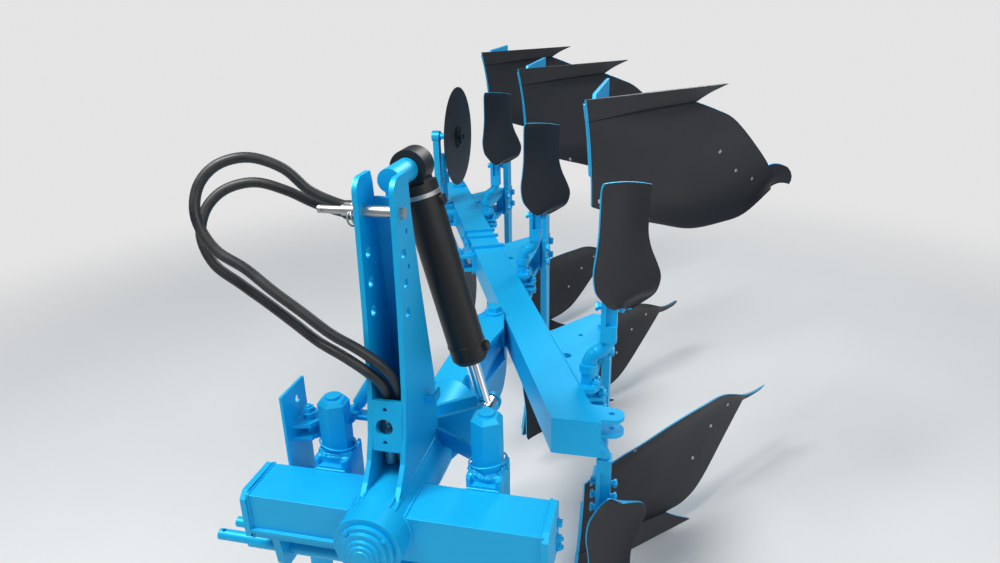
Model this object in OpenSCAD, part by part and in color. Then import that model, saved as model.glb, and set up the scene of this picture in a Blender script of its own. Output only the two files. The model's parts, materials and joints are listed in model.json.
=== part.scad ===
// Three-furrow reversible mouldboard plough, parked on its lower bodies and its stand.
// Everything is laid out from the turnover axis: X to the right, Y to the rear, Z up.
// from_axis() then moves it so that the origin is the middle of the top link's upper spare hole.

/* [Hitch and mast] */
// Clear width between the two mast plates
mast_gap = 71; // [60:1:90]
// Thickness of a mast plate
mast_plate_t = 12; // [10:1:16]
// Height of the mast's top edge above the turnover axis
mast_top_z = 786; // [770:2:810]
// Height of the top link pin above the turnover axis
pin_z = 708; // [700:1:720]
// Distance of the top link holes behind the turnover datum
pin_y = 90; // [84:1:100]
// Diameter of the top link pin
pin_d = 25.4; // [24:0.1:28]
// Diameter of the top link holes
pin_hole_d = 26; // [25.8:0.1:29]
// Spacing of the spare top link holes
hole_pitch = 70; // [60:1:74]
// Drop from the pin to the upper spare hole
first_drop = 94; // [80:1:100]
// Diameter of the lower link pins
link_pin_d = 28.5; // [26:0.5:30]
// Height of the lower link shaft relative to the turnover axis
link_shaft_z = -150; // [-170:1:-140]
// Distance over the shoulders of the lower link shaft
link_span = 825; // [800:5:860]

/* [Headstock] */
// Length of the cross beam between its end plates
cross_len = 711; // [690:1:730]
// Depth of the cross beam, front to rear
cross_depth = 130; // [120:1:140]
// Height of the cross beam
cross_height = 122; // [110:1:126]
// Wall of the cross beam
cross_wall = 10; // [8:1:14]
// Sideways offset of the cross beam's middle
cross_mid_x = 27; // [10:1:40]
// Front face of the cross beam
cross_front_y = -76; // [-80:1:-70]
// Top face of the cross beam
cross_top_z = 44; // [42:1:50]
// Thickness of the cross beam's end plates
end_plate_t = 15; // [12:1:18]
// How far an end plate stands proud of the cross beam
end_plate_lip = 9; // [5:1:12]
// Outside diameter of the hub tube
hub_d = 160; // [150:1:170]
// Diameter of the turnover shaft
shaft_d = 100; // [90:1:104]
// Front end of the hub tube
hub_front_y = -140; // [-150:1:-120]
// Rear end of the hub tube
hub_rear_y = 250; // [240:1:252]

/* [Turnover cylinder] */
// Distance of the cylinder's middle plane behind the datum
cyl_y = 302; // [300:1:306]
// Height of the cylinder's upper pin above the turnover axis
cyl_pin_z = 760; // [756:1:770]
// Diameter of the cylinder's upper pin
cyl_pin_d = 40; // [36:1:44]
// Outside diameter of the barrel
barrel_d = 96; // [90:1:100]
// Length of the barrel from the upper pin's middle
barrel_len = 520; // [500:1:524]
// Diameter of the rod
rod_d = 36; // [32:1:40]
// Radius of the crank that the rod turns
crank_r = 200; // [190:1:204]
// Angle of the crank above level at rest
crank_angle = 34.6; // [34:0.1:36]

/* [Main beam] */
// Angle of the main beam to the direction of travel
beam_angle = 23.5; // [22:0.1:25]
// Width of the main beam
beam_w = 127; // [120:1:135]
// Height of the main beam
beam_h = 112; // [106:1:116]
// Wall of the main beam
beam_wall = 10; // [8:1:14]
// Length of the main beam
beam_len = 2760; // [2700:5:2850]
// Sideways place of the beam's front left corner
beam_x = 324; // [318:1:330]
// Front face of the main beam
beam_y = 383; // [380:1:390]
// Distance of the pivot bolt left of the datum line
pivot_x = 10; // [5:1:15]
// Distance of the pivot bolt behind the datum
pivot_y = 1010; // [1000:1:1020]

/* [Plough bodies] */
// Number of body pairs
body_count = 3; // [2:1:3]
// Distance between bodies along the beam
body_pitch = 950; // [930:1:960]
// Height of the turnover axis above the shares' soles
sole_drop = 855; // [850:1:860]
// Sideways place of the first share's point
tip_x = 356; // [350:1:362]
// Distance of the first share's point behind the datum
tip_y = 764; // [760:1:770]
// Sideways reach of the share from its point to its wing
share_reach_x = 405; // [385:1:415]
// Rearward reach of the share from its point to its wing
share_reach_y = 420; // [400:1:430]
// Sideways reach of the mouldboard from the share's point to its tail
board_reach_x = 606; // [590:1:620]
// Rearward reach of the mouldboard from the share's point to its tail
board_reach_y = 728; // [710:1:745]
// Height of the shin's top corner above the sole
shin_h = 338; // [320:1:350]
// Height of the mouldboard's crest above the sole
crest_h = 483; // [470:1:490]
// Height of the mouldboard's tail above the sole
tail_h = 417; // [405:1:425]
// Length of the strap that ends the tail
strap_len = 120; // [100:2:130]
// Thickness of a mouldboard
board_t = 9; // [7:0.5:12]
// Thickness of a share
share_t = 12; // [10:0.5:14]
// Sideways place of a leg from the share's point
leg_dx = 60; // [56:1:64]
// Rearward place of a leg from the share's point
leg_dy = 275; // [270:1:280]
// Thickness of a leg plate
leg_t = 28; // [24:1:30]
// Width of a leg plate, front to rear
leg_w = 84; // [76:1:90]

/* [Skimmers and coulters] */
// Sideways place of a skimmer's stalk from the share's point
skim_dx = 99; // [95:1:104]
// Rearward place of a skimmer's stalk from the share's point
skim_dy = -164; // [-170:1:-158]
// Outer end of a skimmer blade from the turnover axis
skim_outer_z = 688; // [670:1:700]
// Inner end of a skimmer blade from the turnover axis
skim_inner_z = 318; // [310:1:330]
// Half width of a skimmer blade
skim_half_w = 86; // [82:1:92]
// Diameter of a disc coulter
disc_d = 500; // [480:5:520]
// Height of a disc coulter's middle from the turnover axis
disc_z = 448; // [440:1:456]

/* [Parking stand] */
// Sideways place of the parking stand
stand_x = -283; // [-290:1:-276]
// Distance of the parking stand behind the datum
stand_y = 130; // [126:1:140]
// Height of the stand's pivot bolt above the turnover axis
stand_pivot_z = -108; // [-112:1:-104]
// Width of the stand's flat bar
stand_w = 60; // [50:1:66]
// Thickness of the stand's flat bar
stand_t = 15; // [12:1:18]

/* [Hoses] */
// Outside diameter of a hose
hose_d = 24; // [22:1:26]

/* [Hidden] */
// Running clearance on the radius of a shaft in its bore
run = 0.05;
// Clearance between pieces of one body that seat on each other
seat = 0.3;
$fn = 48;

paint = [0.0, 0.56, 0.86];
black = [0.07, 0.07, 0.08];
steel = [0.62, 0.62, 0.6];
rubber = [0.12, 0.12, 0.13];

hole_z = pin_z - first_drop;
cross_bottom_z = cross_top_z - cross_height;
cross_left_x = cross_mid_x - cross_len / 2;
cross_right_x = cross_mid_x + cross_len / 2;
cross_rear_y = cross_front_y + cross_depth;
mast_half = mast_gap / 2 + mast_plate_t;
beam_face_w = beam_w / cos(beam_angle);
beam_left_at = function (y) beam_x - (y - beam_y) * tan(beam_angle);
beam_right_at = function (y) beam_left_at(y) + beam_face_w;
crank_x = crank_r * cos(crank_angle);
crank_z = crank_r * sin(crank_angle);
rod_reach = sqrt(pow(crank_x, 2) + pow(cyl_pin_z - crank_z, 2));
rod_tilt = atan2(crank_x, cyl_pin_z - crank_z);
eye_w = 50;
ear_gap = 6;
ear_t = 14;

module from_axis() translate([0, -pin_y, -hole_z]) children();
module at_body(i) translate([tip_x - i * body_pitch * sin(beam_angle), tip_y + i * body_pitch * cos(beam_angle), 0])
    children();
module bar_x(r, x0, x1) translate([x0, 0, 0]) rotate([0, 90, 0]) cylinder(r = r, h = x1 - x0);
module bar_y(r, y0, y1) translate([0, y1, 0]) rotate([90, 0, 0]) cylinder(r = r, h = y1 - y0);
module box(lo, hi) translate(lo) cube(hi - lo);
module plan(z0, z1) translate([0, 0, z0]) linear_extrude(z1 - z0) children();
// An outline drawn in Y and Z, extruded along X
module side(x0, x1) translate([x0, 0, 0]) rotate([90, 0, 90]) linear_extrude(x1 - x0) children();
// An outline drawn in X and Z, extruded along Y
module front(y0, y1) translate([0, y1, 0]) rotate([90, 0, 0]) linear_extrude(y1 - y0) children();
module rounded(lo, hi, r) translate(lo + [r, r]) hull() for (x = [0, hi[0] - lo[0] - 2 * r], y = [0, hi[1] - lo[1] - 2 * r])
    translate([x, y]) circle(r);

// A bend of a round bar, from the angle given by from through the angle sweep, in the X and Z plane
module bend(r, radius, from, sweep) rotate([90, 0, 0]) rotate([0, 0, from])
    rotate_extrude(angle = sweep) translate([radius, 0]) circle(r = r);

// A curved sheet: place(s, w) gives its face, and back is the step from its face to its back
function sheet_points(place, cols, rows, back) =
    [for (k = [0, 1]) for (i = [0:cols]) for (j = [0:rows]) place(i / cols, j / rows) + k * back];
function split(q) = [[q[0], q[1], q[2]], [q[0], q[2], q[3]]];
function sheet_faces(cols, rows) =
    let (at = function (k, i, j) (k * (cols + 1) + i) * (rows + 1) + j)
    [
        for (i = [0:cols - 1]) for (j = [0:rows - 1])
            each concat(
                split([at(0, i, j), at(0, i, j + 1), at(0, i + 1, j + 1), at(0, i + 1, j)]),
                split([at(1, i, j), at(1, i + 1, j), at(1, i + 1, j + 1), at(1, i, j + 1)])),
        for (i = [0:cols - 1])
            each concat(
                split([at(0, i, 0), at(0, i + 1, 0), at(1, i + 1, 0), at(1, i, 0)]),
                split([at(0, i + 1, rows), at(0, i, rows), at(1, i, rows), at(1, i + 1, rows)])),
        for (j = [0:rows - 1])
            each concat(
                split([at(0, 0, j + 1), at(0, 0, j), at(1, 0, j), at(1, 0, j + 1)]),
                split([at(0, cols, j), at(0, cols, j + 1), at(1, cols, j + 1), at(1, cols, j)]))
    ];
module sheet(place, cols, rows, back)
    polyhedron(sheet_points(place, cols, rows, back), sheet_faces(cols, rows), convexity = 6);

// The working face of a body, in the body's own place: s runs from shin to tail, w from bottom to top.
// A face is the patch between four edges, each a smooth curve through its points.
function ease(w) = 2 * w - w * w;
function mix(a, b, t) = a + (b - a) * t;
function curve_at(p, k, t) =
    let (a = p[max(k - 1, 0)], b = p[k], c = p[k + 1], d = p[min(k + 2, len(p) - 1)])
    0.5 * (2 * b + (c - a) * t + (2 * a - 5 * b + 4 * c - d) * t * t + (3 * b - a - 3 * c + d) * t * t * t);
function along(p, t) = let (k = min(floor(t * (len(p) - 1)), len(p) - 2)) curve_at(p, k, t * (len(p) - 1) - k);
function patch(bottom, top, left, right, s, w) =
    mix(along(bottom, s), along(top, s), w) + mix(along(left, w), along(right, w), s)
    - mix(mix(bottom[0], bottom[len(bottom) - 1], s), mix(top[0], top[len(top) - 1], s), w);
function shin(w) = [12 * w, 103 * w + 160 * w * (1 - w), shin_h * w];
// Top edge behind the shin: shares of the tail's reach across and back, and of the crest's height
top_table = [[0.18, 0.26, 0.81], [0.35, 0.37, 0.895], [0.52, 0.5, 0.976], [0.69, 0.67, 1], [0.84, 0.83, 0.99]];
// Rear edge above the seam, in the same terms
rear_table = [[0.622, 0.577, 0.174], [0.726, 0.7, 0.264], [0.873, 0.934, 0.497], [0.997, 1.104, 0.735]];
at_board = function (row) [row[0] * board_reach_x, row[1] * board_reach_y, row[2] * crest_h];
// The seam between share and mouldboard, as a share of the shin's height, and its far end
seam_w = 0.2;
seam_rise = 1.5;
seam_end = [0.508 * board_reach_x, 0.515 * board_reach_y, 0.106 * crest_h];
tail = [board_reach_x, board_reach_y, tail_h];
wing = [share_reach_x, share_reach_y, 0];
seam = [shin(seam_w), mix(shin(seam_w), seam_end, 0.5) + [-6, 8, 0], seam_end];
board_bottom = [for (p = seam) p + [0, 0, seam_rise]];
board_top = concat([shin(1)], [for (r = top_table) at_board(r)], [tail]);
board_left = [for (k = [0:4]) shin(mix(seam_w, 1, k / 4)) + [0, 0, seam_rise * (1 - k / 4)]];
board_right = concat([board_bottom[2]], [for (r = rear_table) at_board(r)], [tail]);
share_left = [for (k = [0:2]) shin(seam_w * k / 2)];
share_right = [wing, mix(wing, seam_end, 0.5) + [-8, -4, 0], seam_end];
board_face = function (s, w) patch(board_bottom, board_top, board_left, board_right, s, w);
share_face = function (s, w) patch([[0, 0, 0], wing / 2, wing], seam, share_left, share_right, s, w);
// Unit step from the working face towards its back
face_back = [-0.60, 0.76, -0.25];
board_cols = 16;
board_rows = 9;
share_rows = 3;

module headstock_beam() from_axis() color(paint) difference() {
    union() {
        box([cross_left_x, cross_front_y, cross_bottom_z], [cross_right_x, cross_rear_y, cross_top_z]);
        for (x = [cross_left_x - end_plate_t, cross_right_x]) side(x, x + end_plate_t) end_outline();
        bar_y(hub_d / 2, hub_front_y, hub_rear_y);
        for (x = carrier_x) side(x, x + carrier_t) carrier_outline();
        // Lip strip along the lower front edge, left of the hub
        box([cross_left_x, cross_front_y - 8, cross_bottom_z + 18], [-hub_d / 2 + 5, cross_front_y + 5, cross_bottom_z + 28]);
        // Stub for folding the lower link hook, on the left end plate
        translate([0, cross_front_y + 8, -46]) bar_x(12.5, cross_left_x - end_plate_t - 27, cross_left_x - 2);
    }
    for (x = [cross_left_x + cross_wall, hub_d / 2 + 12])
        box([x, cross_front_y + cross_wall, cross_bottom_z + cross_wall],
            [x < 0 ? -hub_d / 2 - 12 : cross_right_x - cross_wall, cross_rear_y - cross_wall, cross_top_z - cross_wall]);
    bar_y(shaft_d / 2 + run, hub_front_y - 1, hub_rear_y + 1);
    translate([0, link_shaft_y, link_shaft_z]) bar_x(link_shaft_d / 2 + run, cross_left_x, cross_right_x);
}
link_shaft_d = 40;
link_shaft_y = -10;
carrier_t = 20;
carrier_x = [cross_left_x + 40, cross_right_x - 60];
module end_outline() polygon([
    [cross_front_y - end_plate_lip, cross_bottom_z + 8], [cross_front_y + 8, cross_bottom_z - end_plate_lip],
    [cross_rear_y - 8, cross_bottom_z - end_plate_lip], [cross_rear_y + end_plate_lip, cross_bottom_z + 8],
    [cross_rear_y + end_plate_lip, cross_top_z - 8], [cross_rear_y - 8, cross_top_z + end_plate_lip],
    [cross_front_y + 8, cross_top_z + end_plate_lip], [cross_front_y - end_plate_lip, cross_top_z - 8]
]);
module carrier_outline() polygon([
    [cross_front_y + 10, cross_bottom_z + 1], [cross_front_y + 22, link_shaft_z - 20], [link_shaft_y - 22, link_shaft_z - 40],
    [link_shaft_y + 22, link_shaft_z - 40], [cross_rear_y - 22, link_shaft_z - 20], [cross_rear_y - 8, cross_bottom_z + 1]
]);

module mast() from_axis() color(paint) difference() {
    union() {
        for (x = [-mast_half, mast_gap / 2]) side(x, x + mast_plate_t) mast_outline();
        side(-mast_gap / 2, mast_gap / 2) polygon([[140, mast_top_z - 60], [152, mast_top_z - 60], [232, 100], [220, 100]]);
        side(-mast_gap / 2, mast_gap / 2) polygon([[12, 152], [24, 151], [46, 272], [34, 273]]);
        // Bent clip on the right plate that keeps the hoses
        box([mast_half - 1, 150, 205], [mast_half + 28, 156, 228]);
        box([mast_half + 22, 150, 205], [mast_half + 28, 196, 228]);
    }
    for (z = concat([pin_z], [for (k = [0:2]) hole_z - k * hole_pitch]))
        translate([0, pin_y, z]) bar_x(pin_hole_d / 2, -mast_half - 1, mast_half + 1);
    for (z = [660, 578]) translate([0, pin_y + 24, z]) bar_x(6, -mast_half - 1, mast_half + 1);
    bar_y(hub_d / 2 + seat, hub_front_y - 1, hub_rear_y + 1);
    box([-mast_half - 1, cross_front_y - seat, cross_bottom_z], [mast_half + 1, cross_rear_y + seat, cross_top_z + seat]);
    // Openings of the hose plate
    translate([-6, 0, 208]) bar_y(21, 0, 60);
    for (z = [173, 252]) translate([-4, 0, z]) bar_y(5, 0, 60);
}
mast_corner_r = 34;
module mast_outline() difference() {
    polygon([
        [-82, 40], [-60, 62], [-30, 90], [0, 130], [20, 190], [40, 300], [52, 480], [58, 700], [58, mast_top_z],
        [138, mast_top_z], [146, 760], [150, 700], [179, 519], [236, 240], [244, 100], [244, 40]
    ]);
    difference() {
        translate([50, mast_top_z - mast_corner_r]) square([8 + mast_corner_r, mast_corner_r + 1]);
        translate([58 + mast_corner_r, mast_top_z - mast_corner_r]) circle(r = mast_corner_r);
    }
}

// Depth and radius of the hub cap's steps, from the tube outwards
cap_steps = [[12, 66], [20, 54], [27, 40], [32, 30], [35, 20]];
module hub_cap() from_axis() color(paint) union() for (k = [0:len(cap_steps) - 1])
    bar_y(cap_steps[k][1], hub_front_y - cap_steps[k][0], k == 0 ? hub_front_y - seat : hub_front_y - cap_steps[k - 1][0] + 1);

module top_link_pin() from_axis() color(steel) translate([0, pin_y, pin_z]) difference() {
    union() {
        bar_x(pin_d / 2, -mast_half - 14, mast_half + 9);
        bar_x(9, -mast_half - 96, -mast_half - 10);
        bar_x(12, -mast_half - 40, -mast_half - 12);
    }
    translate([-mast_half - 84, -20, 0]) bar_y(3, 0, 40);
}

module cross_shaft() from_axis() color(paint) translate([0, link_shaft_y, link_shaft_z]) difference() {
    union() {
        bar_x(link_shaft_d / 2, cross_mid_x - link_span / 2, cross_mid_x + link_span / 2);
        bar_x(link_pin_d / 2, cross_mid_x - link_span / 2 - 90, cross_mid_x + link_span / 2 + 90);
    }
    for (x = [cross_mid_x - link_span / 2 - 76, cross_mid_x + link_span / 2 + 76]) translate([x, 0, -20]) cylinder(r = 5.5, h = 40);
}

// A tilt screw in its socket: the socket is bolted to the cross beam's rear face
module tilt_screw(x) from_axis() color(paint) translate([x, 0, 0]) {
    difference() {
        plan(-56, 72) rounded([-44, cross_rear_y + seat], [44, 164], 14);
        // The socket's top is cut down to a saddle between its side walls
        box([-31, cross_rear_y - 10, 56], [31, 200, 80]);
    }
    translate([0, 112, 50]) rotate(30) cylinder(r = 40, h = 158, $fn = 6);
    translate([0, 112, 207]) rotate(30) cylinder(r1 = 40, r2 = 31, h = 12, $fn = 6);
    translate([0, 112, 218]) cylinder(r = 19, h = 8);
    translate([0, 112, -86]) cylinder(r = 20, h = 34);
}
module tilt_screw_left() tilt_screw(-176);
module tilt_screw_right() tilt_screw(216);

// Clearance between the stand and the ears that hold it
stand_play = 5.5;
ear_front_y = cross_rear_y + 40;
module stand_bracket() from_axis() color(paint) {
    // Ears below and behind the cross beam, with the stand's pivot bolt
    difference() {
        union() {
            box([stand_x - 36, cross_rear_y + seat, cross_bottom_z - 2], [stand_x + 36, ear_front_y + 2, cross_bottom_z + 50]);
            for (y = [stand_y - stand_t / 2 - stand_play - 12, stand_y + stand_t / 2 + stand_play])
                front(y, y + 12) {
                    translate([stand_x, stand_pivot_z]) circle(r = 26);
                    polygon([[stand_x - 26, stand_pivot_z], [stand_x + 26, stand_pivot_z], [stand_x + 36, cross_bottom_z + 50],
                        [stand_x - 36, cross_bottom_z + 50]]);
                }
            box([stand_x - 36, ear_front_y, cross_bottom_z + 38],
                [stand_x + 36, stand_y + stand_t / 2 + stand_play + 12, cross_bottom_z + 50]);
        }
    }
    translate([stand_x, 0, stand_pivot_z]) {
        bar_y(11, stand_y - 44, stand_y + 44);
        bar_y(17, stand_y - 44, stand_y - 34);
        bar_y(17, stand_y + 34, stand_y + 44);
    }
    // Upright plate with the hole that the folded stand is pinned to, and its two level plates
    difference() {
        box([stand_x - 6, cross_rear_y + seat, cross_bottom_z + 40], [stand_x + 2, 168, 238]);
        translate([stand_x, 126, 196]) bar_x(11, -10, 10);
    }
    for (z = [96, 132]) plan(z, z + 12) difference() {
        union() {
            polygon([[stand_x, 84], [stand_x, 160], [stand_x + 38, 160], [stand_x + 52, 130], [stand_x + 46, 96]]);
            translate([stand_x + 30, 128]) circle(r = 30);
        }
    }
    translate([stand_x + 28, 128, 90]) cylinder(r = 15, h = 70);
}

module parking_stand() from_axis() color(paint) difference() {
    union() {
        front(stand_y - stand_t / 2, stand_y + stand_t / 2) {
            translate([stand_x, stand_pivot_z]) circle(r = stand_w / 2);
            polygon([[stand_x - stand_w / 2, stand_pivot_z], [stand_x + stand_w / 2, stand_pivot_z],
                [stand_x + stand_w / 2 + 12, -sole_drop + 8], [stand_x - stand_w / 2 + 12, -sole_drop + 8]]);
        }
        box([stand_x - 48, stand_y - 60, -sole_drop], [stand_x + 72, stand_y + 60, -sole_drop + 12]);
        side(stand_x + 8, stand_x + 16) polygon([[stand_y - 50, -sole_drop + 10], [stand_y + 50, -sole_drop + 10],
            [stand_y + 4, -sole_drop + 120], [stand_y - 4, -sole_drop + 120]]);
    }
    translate([stand_x, 0, stand_pivot_z]) bar_y(11 + run, stand_y - 20, stand_y + 20);
    translate([stand_x, 0, -sole_drop + 330]) bar_y(9, stand_y - 20, stand_y + 20);
}

module cylinder_bracket() from_axis() color(paint) difference() {
    union() {
        translate([0, 0, cyl_pin_z]) {
            bar_y(cyl_pin_d / 2, 160, cyl_y + 52);
            bar_y(28, 150, cyl_y - 36);
            bar_y(34, cyl_y + 36, cyl_y + 50);
        }
        side(-8, 8) polygon([[152, mast_top_z - 40], [cyl_y - 46, mast_top_z - 40], [176, 600], [152, 600]]);
    }
    side(-60, 60) polygon([[0, 0], [0, 900], [152.3, 900], [152.3, mast_top_z - 60], [232.3, 100]]);
}

module hose_manifold() from_axis() color(steel) difference() {
    box([-72, 150, 645], [-9, 225, 700]);
    side(-80, 0) polygon([[0, 0], [0, 900], [152.3, 900], [152.3, mast_top_z - 60], [232.3, 100]]);
}

module barrel() from_axis() color(black) translate([0, cyl_y, cyl_pin_z]) rotate([0, -rod_tilt, 0]) difference() {
    union() {
        bar_y(45, -32, 32);
        box([-30, -32, -50], [30, 32, -20]);
        translate([0, 0, -barrel_len + 12]) cylinder(r = barrel_d / 2, h = barrel_len - 54);
        translate([0, 0, -barrel_len]) cylinder(r1 = barrel_d / 2 - 9, r2 = barrel_d / 2, h = 12.5);
    }
    bar_y(cyl_pin_d / 2 + run, -40, 40);
    translate([0, 0, -barrel_len + 25]) cylinder(r = 40, h = barrel_len - 85);
    translate([0, 0, -barrel_len - 1]) cylinder(r = rod_d / 2 + run, h = 40);
}

module rod() from_axis() color(steel) translate([0, cyl_y, cyl_pin_z]) rotate([0, -rod_tilt, 0]) {
    translate([0, 0, -rod_reach]) bar_y(28, -eye_w / 2, eye_w / 2);
    translate([0, 0, -rod_reach]) cylinder(r = rod_d / 2, h = rod_reach - 190);
    translate([0, 0, -215]) cylinder(r = 39.9, h = 30);
}

module turnover_arm() from_axis() color(paint) difference() {
    union() {
        bar_y(shaft_d / 2, hub_front_y, hub_rear_y + 10);
        bar_y(58, hub_rear_y + 2, arm_front_y + 20);
        for (y = [cyl_y - eye_w / 2 - ear_gap - ear_t, cyl_y + eye_w / 2 + ear_gap])
            front(y, y + ear_t) hull() {
                circle(74);
                translate([crank_x, crank_z]) circle(30);
            }
        bar_y(74, cyl_y + eye_w / 2 + ear_gap, arm_front_y + 5);
        box([-arm_left, arm_front_y, -arm_half_h], [arm_right, pivot_y - 60, arm_half_h]);
        for (z = [-arm_half_h - 8, arm_half_h - 6]) plan(z, z + 14) fork_outline();
        // Deep plate on the arm's right side, with a round lower corner
        side(arm_right, arm_right + 12) cheek_outline();
    }
    translate([pivot_x, pivot_y, -80]) cylinder(r = 20 + run, h = 160);
    // Recess in the deep plate for the pivot bolt's nut
    translate([pivot_x, pivot_y, -120]) cylinder(r = 37, h = 48);
    box([12 - arm_left, arm_front_y + 12, 12 - arm_half_h], [arm_right - 12, pivot_y - 72, arm_half_h - 12]);
}
arm_front_y = 500;
arm_left = 57;
arm_right = 33;
arm_half_h = 62;
module fork_outline() union() {
    polygon([[-arm_left, 800], [-arm_left, 926], [pivot_x - 36, pivot_y], [pivot_x + 36, pivot_y], [72, 900], [arm_right + 12, 690]]);
    translate([pivot_x, pivot_y]) circle(r = 38);
}
module cheek_outline() difference() {
    union() {
        polygon([[560, arm_half_h], [560, -arm_half_h], [740, -150], [880, -212], [950, -226], [950, arm_half_h]]);
        translate([940, -116]) circle(r = 110.5);
        polygon([[940, -116], [1050, -116], [1050, -arm_half_h - 14], [940, -arm_half_h - 14]]);
    }
    translate([960, -arm_half_h - 14]) square([100, 300]);
}

module main_beam() from_axis() color(paint) difference() {
    union() {
        plan(-beam_h / 2, beam_h / 2) difference() {
            beam_plan(0);
            beam_plan(beam_wall);
        }
        plan(-beam_h / 2, -beam_h / 2 + beam_wall) beam_plan(1);
        plan(beam_h / 2 - beam_wall, beam_h / 2) beam_plan(1);
        translate([pivot_x, pivot_y, seat - beam_h / 2]) cylinder(r = 45, h = beam_h - 2 * seat);
        box([pivot_x, pivot_y - 42, -46], [beam_left_at(pivot_y) + 5, pivot_y + 40, 46]);
        // Lug plates at the front right corner
        for (z = [beam_h / 2 - 14, -4]) plan(z, z + 12) {
            polygon([[beam_right_at(400) - 4, 400], [486, 404], [486, 470], [beam_right_at(480) - 4, 480]]);
            translate([486, 437]) circle(r = 33);
        }
    }
    translate([pivot_x, pivot_y, -80]) cylinder(r = 20.5, h = 160);
    translate([484, 439, -20]) cylinder(r = 8, h = 90);
}
// The beam in plan: square cut at the front, cut across its length at the rear
module beam_plan(inset) translate([beam_x, beam_y]) rotate(beam_angle) difference() {
    translate([inset, -beam_w]) square([beam_w - 2 * inset, beam_len + beam_w - inset]);
    rotate(-beam_angle) translate([-beam_w, -2 * beam_w + inset * 1.2]) square([4 * beam_w, 2 * beam_w]);
}

// The beam's own place: across from its left side, along from its front corner
module on_beam() translate([beam_x, beam_y]) rotate(beam_angle) children();
// Stay rod on the beam's left side, from a bracket to the coulter post
stay_across = -72;
stay_front = 1450;
stay_rear = 2170;
module stay_rod() from_axis() color(paint) on_beam() difference() {
    union() {
        translate([stay_across, 0, 0]) {
            bar_y(23, stay_front + 50, stay_rear - 45);
            bar_y(15, stay_front, stay_rear);
            bar_y(28, stay_front + 110, stay_front + 150);
        }
        for (y = [stay_front, stay_rear]) translate([stay_across, y, -25]) cylinder(r = 30, h = 50);
    }
    for (y = [stay_front, stay_rear]) translate([stay_across, y, -60]) cylinder(r = 12 + run, h = 120);
}
// Straps, brackets and the end cap on the beam
strap_t = 12;
module beam_fittings() from_axis() color(paint) on_beam() {
    for (y = [stay_front, stay_rear]) {
        for (z = [-37.3, 25.3]) plan(z, z + 12) difference() {
            union() {
                translate([stay_across, y]) circle(r = 32);
                translate([stay_across, y - 32]) square([-seat - stay_across, 64]);
            }
            translate([stay_across, y]) circle(r = 12.05);
        }
        translate([stay_across, y, -55]) cylinder(r = 12, h = 110);
        for (z = [-53.3, 37.3]) translate([stay_across, y, z]) cylinder(r = 20, h = 16, $fn = 6);
        box([-16, y - 32, -40], [-seat, y + 32, 40]);
    }
    for (y = [stay_front + 20, 1620, 1715]) difference() {
        front(y - 11, y + 11) polygon([[-strap_t, -beam_h / 2 - strap_t], [beam_w + strap_t, -beam_h / 2 - strap_t],
            [beam_w + strap_t, beam_h / 2 + strap_t], [-strap_t, beam_h / 2 + strap_t]]);
        // Open towards the consoles
        front(y - 12, y + 12) polygon([[-seat, -beam_h / 2 - seat], [beam_w + strap_t + 1, -beam_h / 2 - seat],
            [beam_w + strap_t + 1, beam_h / 2 + seat], [-seat, beam_h / 2 + seat]]);
    }
    box([-16, stay_front - 32, -40], [-strap_t + 2, 1725, 40]);
    translate([beam_w - 42, 2640, beam_h / 2 + seat]) {
        cylinder(r = 36, h = 14);
        cylinder(r = 24, h = 34, $fn = 6);
    }
}
module pivot_bolt() from_axis() color(paint) translate([pivot_x, pivot_y, 0]) {
    cylinder(r = 20, h = 180, center = true);
    for (z = [70.3, -78.3]) translate([0, 0, z]) cylinder(r = 34, h = 8);
    for (z = [78, -98]) translate([0, 0, z]) cylinder(r = 27, h = 20, $fn = 6);
}

// The beam's right side, seen from a body's own place
reach = function (y) beam_right_at(tip_y + y) - tip_x + seat;
leg_side = leg_dx - leg_t / 2 - seat;
skim_foot_x = 43;
stalk_r = 21;
jaw_r = 28;
jaw_rear = skim_dy + jaw_r + seat;
module leg_consoles() from_axis() color(paint) for (i = [0:body_count - 1]) at_body(i) difference() {
    union() {
        // Two level plates from the beam's side to the leg, with the skimmer's foot through their front
        for (z = [-beam_h / 2, beam_h / 2 - 14]) plan(z, z + 14) polygon([
            [reach(-214), -214], [66, -206], [79, -186], [79, -140], [40, -60], [leg_side, 60],
            [leg_side, leg_dy + 58], [leg_side - 46, leg_dy + 62], [reach(160), 160]
        ]);
        // Upright web along the leg, and one behind the skimmer's jaws
        plan(1 - beam_h / 2, beam_h / 2 - 1) {
            polygon([[leg_side - 40, leg_dy - 60], [leg_side, leg_dy - 60], [leg_side, leg_dy + 58], [leg_side - 40, leg_dy + 58]]);
            polygon([[reach(jaw_rear), jaw_rear], [62, jaw_rear], [62, jaw_rear + 18], [reach(jaw_rear + 18), jaw_rear + 18]]);
        }
    }
    translate([skim_foot_x, skim_dy, -80]) cylinder(r = stalk_r + seat, h = 160);
    translate([-46, -7, -80]) cylinder(r = 16.5, h = 160);
    translate([-20, 150, -80]) cylinder(r = 8, h = 160);
}

module leg(i) from_axis() color(paint) at_body(i) {
    box([leg_dx - leg_t / 2, leg_dy - leg_w / 2, 130 - sole_drop], [leg_dx + leg_t / 2, leg_dy + leg_w / 2, sole_drop - 130]);
    // Flange at the console with the leg's two bolts
    box([leg_dx - 2, leg_dy - 62, -70], [leg_dx + leg_t / 2, leg_dy + 62, 70]);
    for (y = [leg_dy - 50, leg_dy + 50], z = [-34, 34]) translate([0, y, z]) bar_x(12, leg_dx + 4, leg_dx + leg_t / 2 + 14);
    for (upper = [true, false]) body_side(upper) frog();
}
// The frog carries share, mouldboard and landside on the foot of the leg
frog_cols = 6;
frog_rows = 6;
frog_last = share_rows + 1 + frog_rows;
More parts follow.
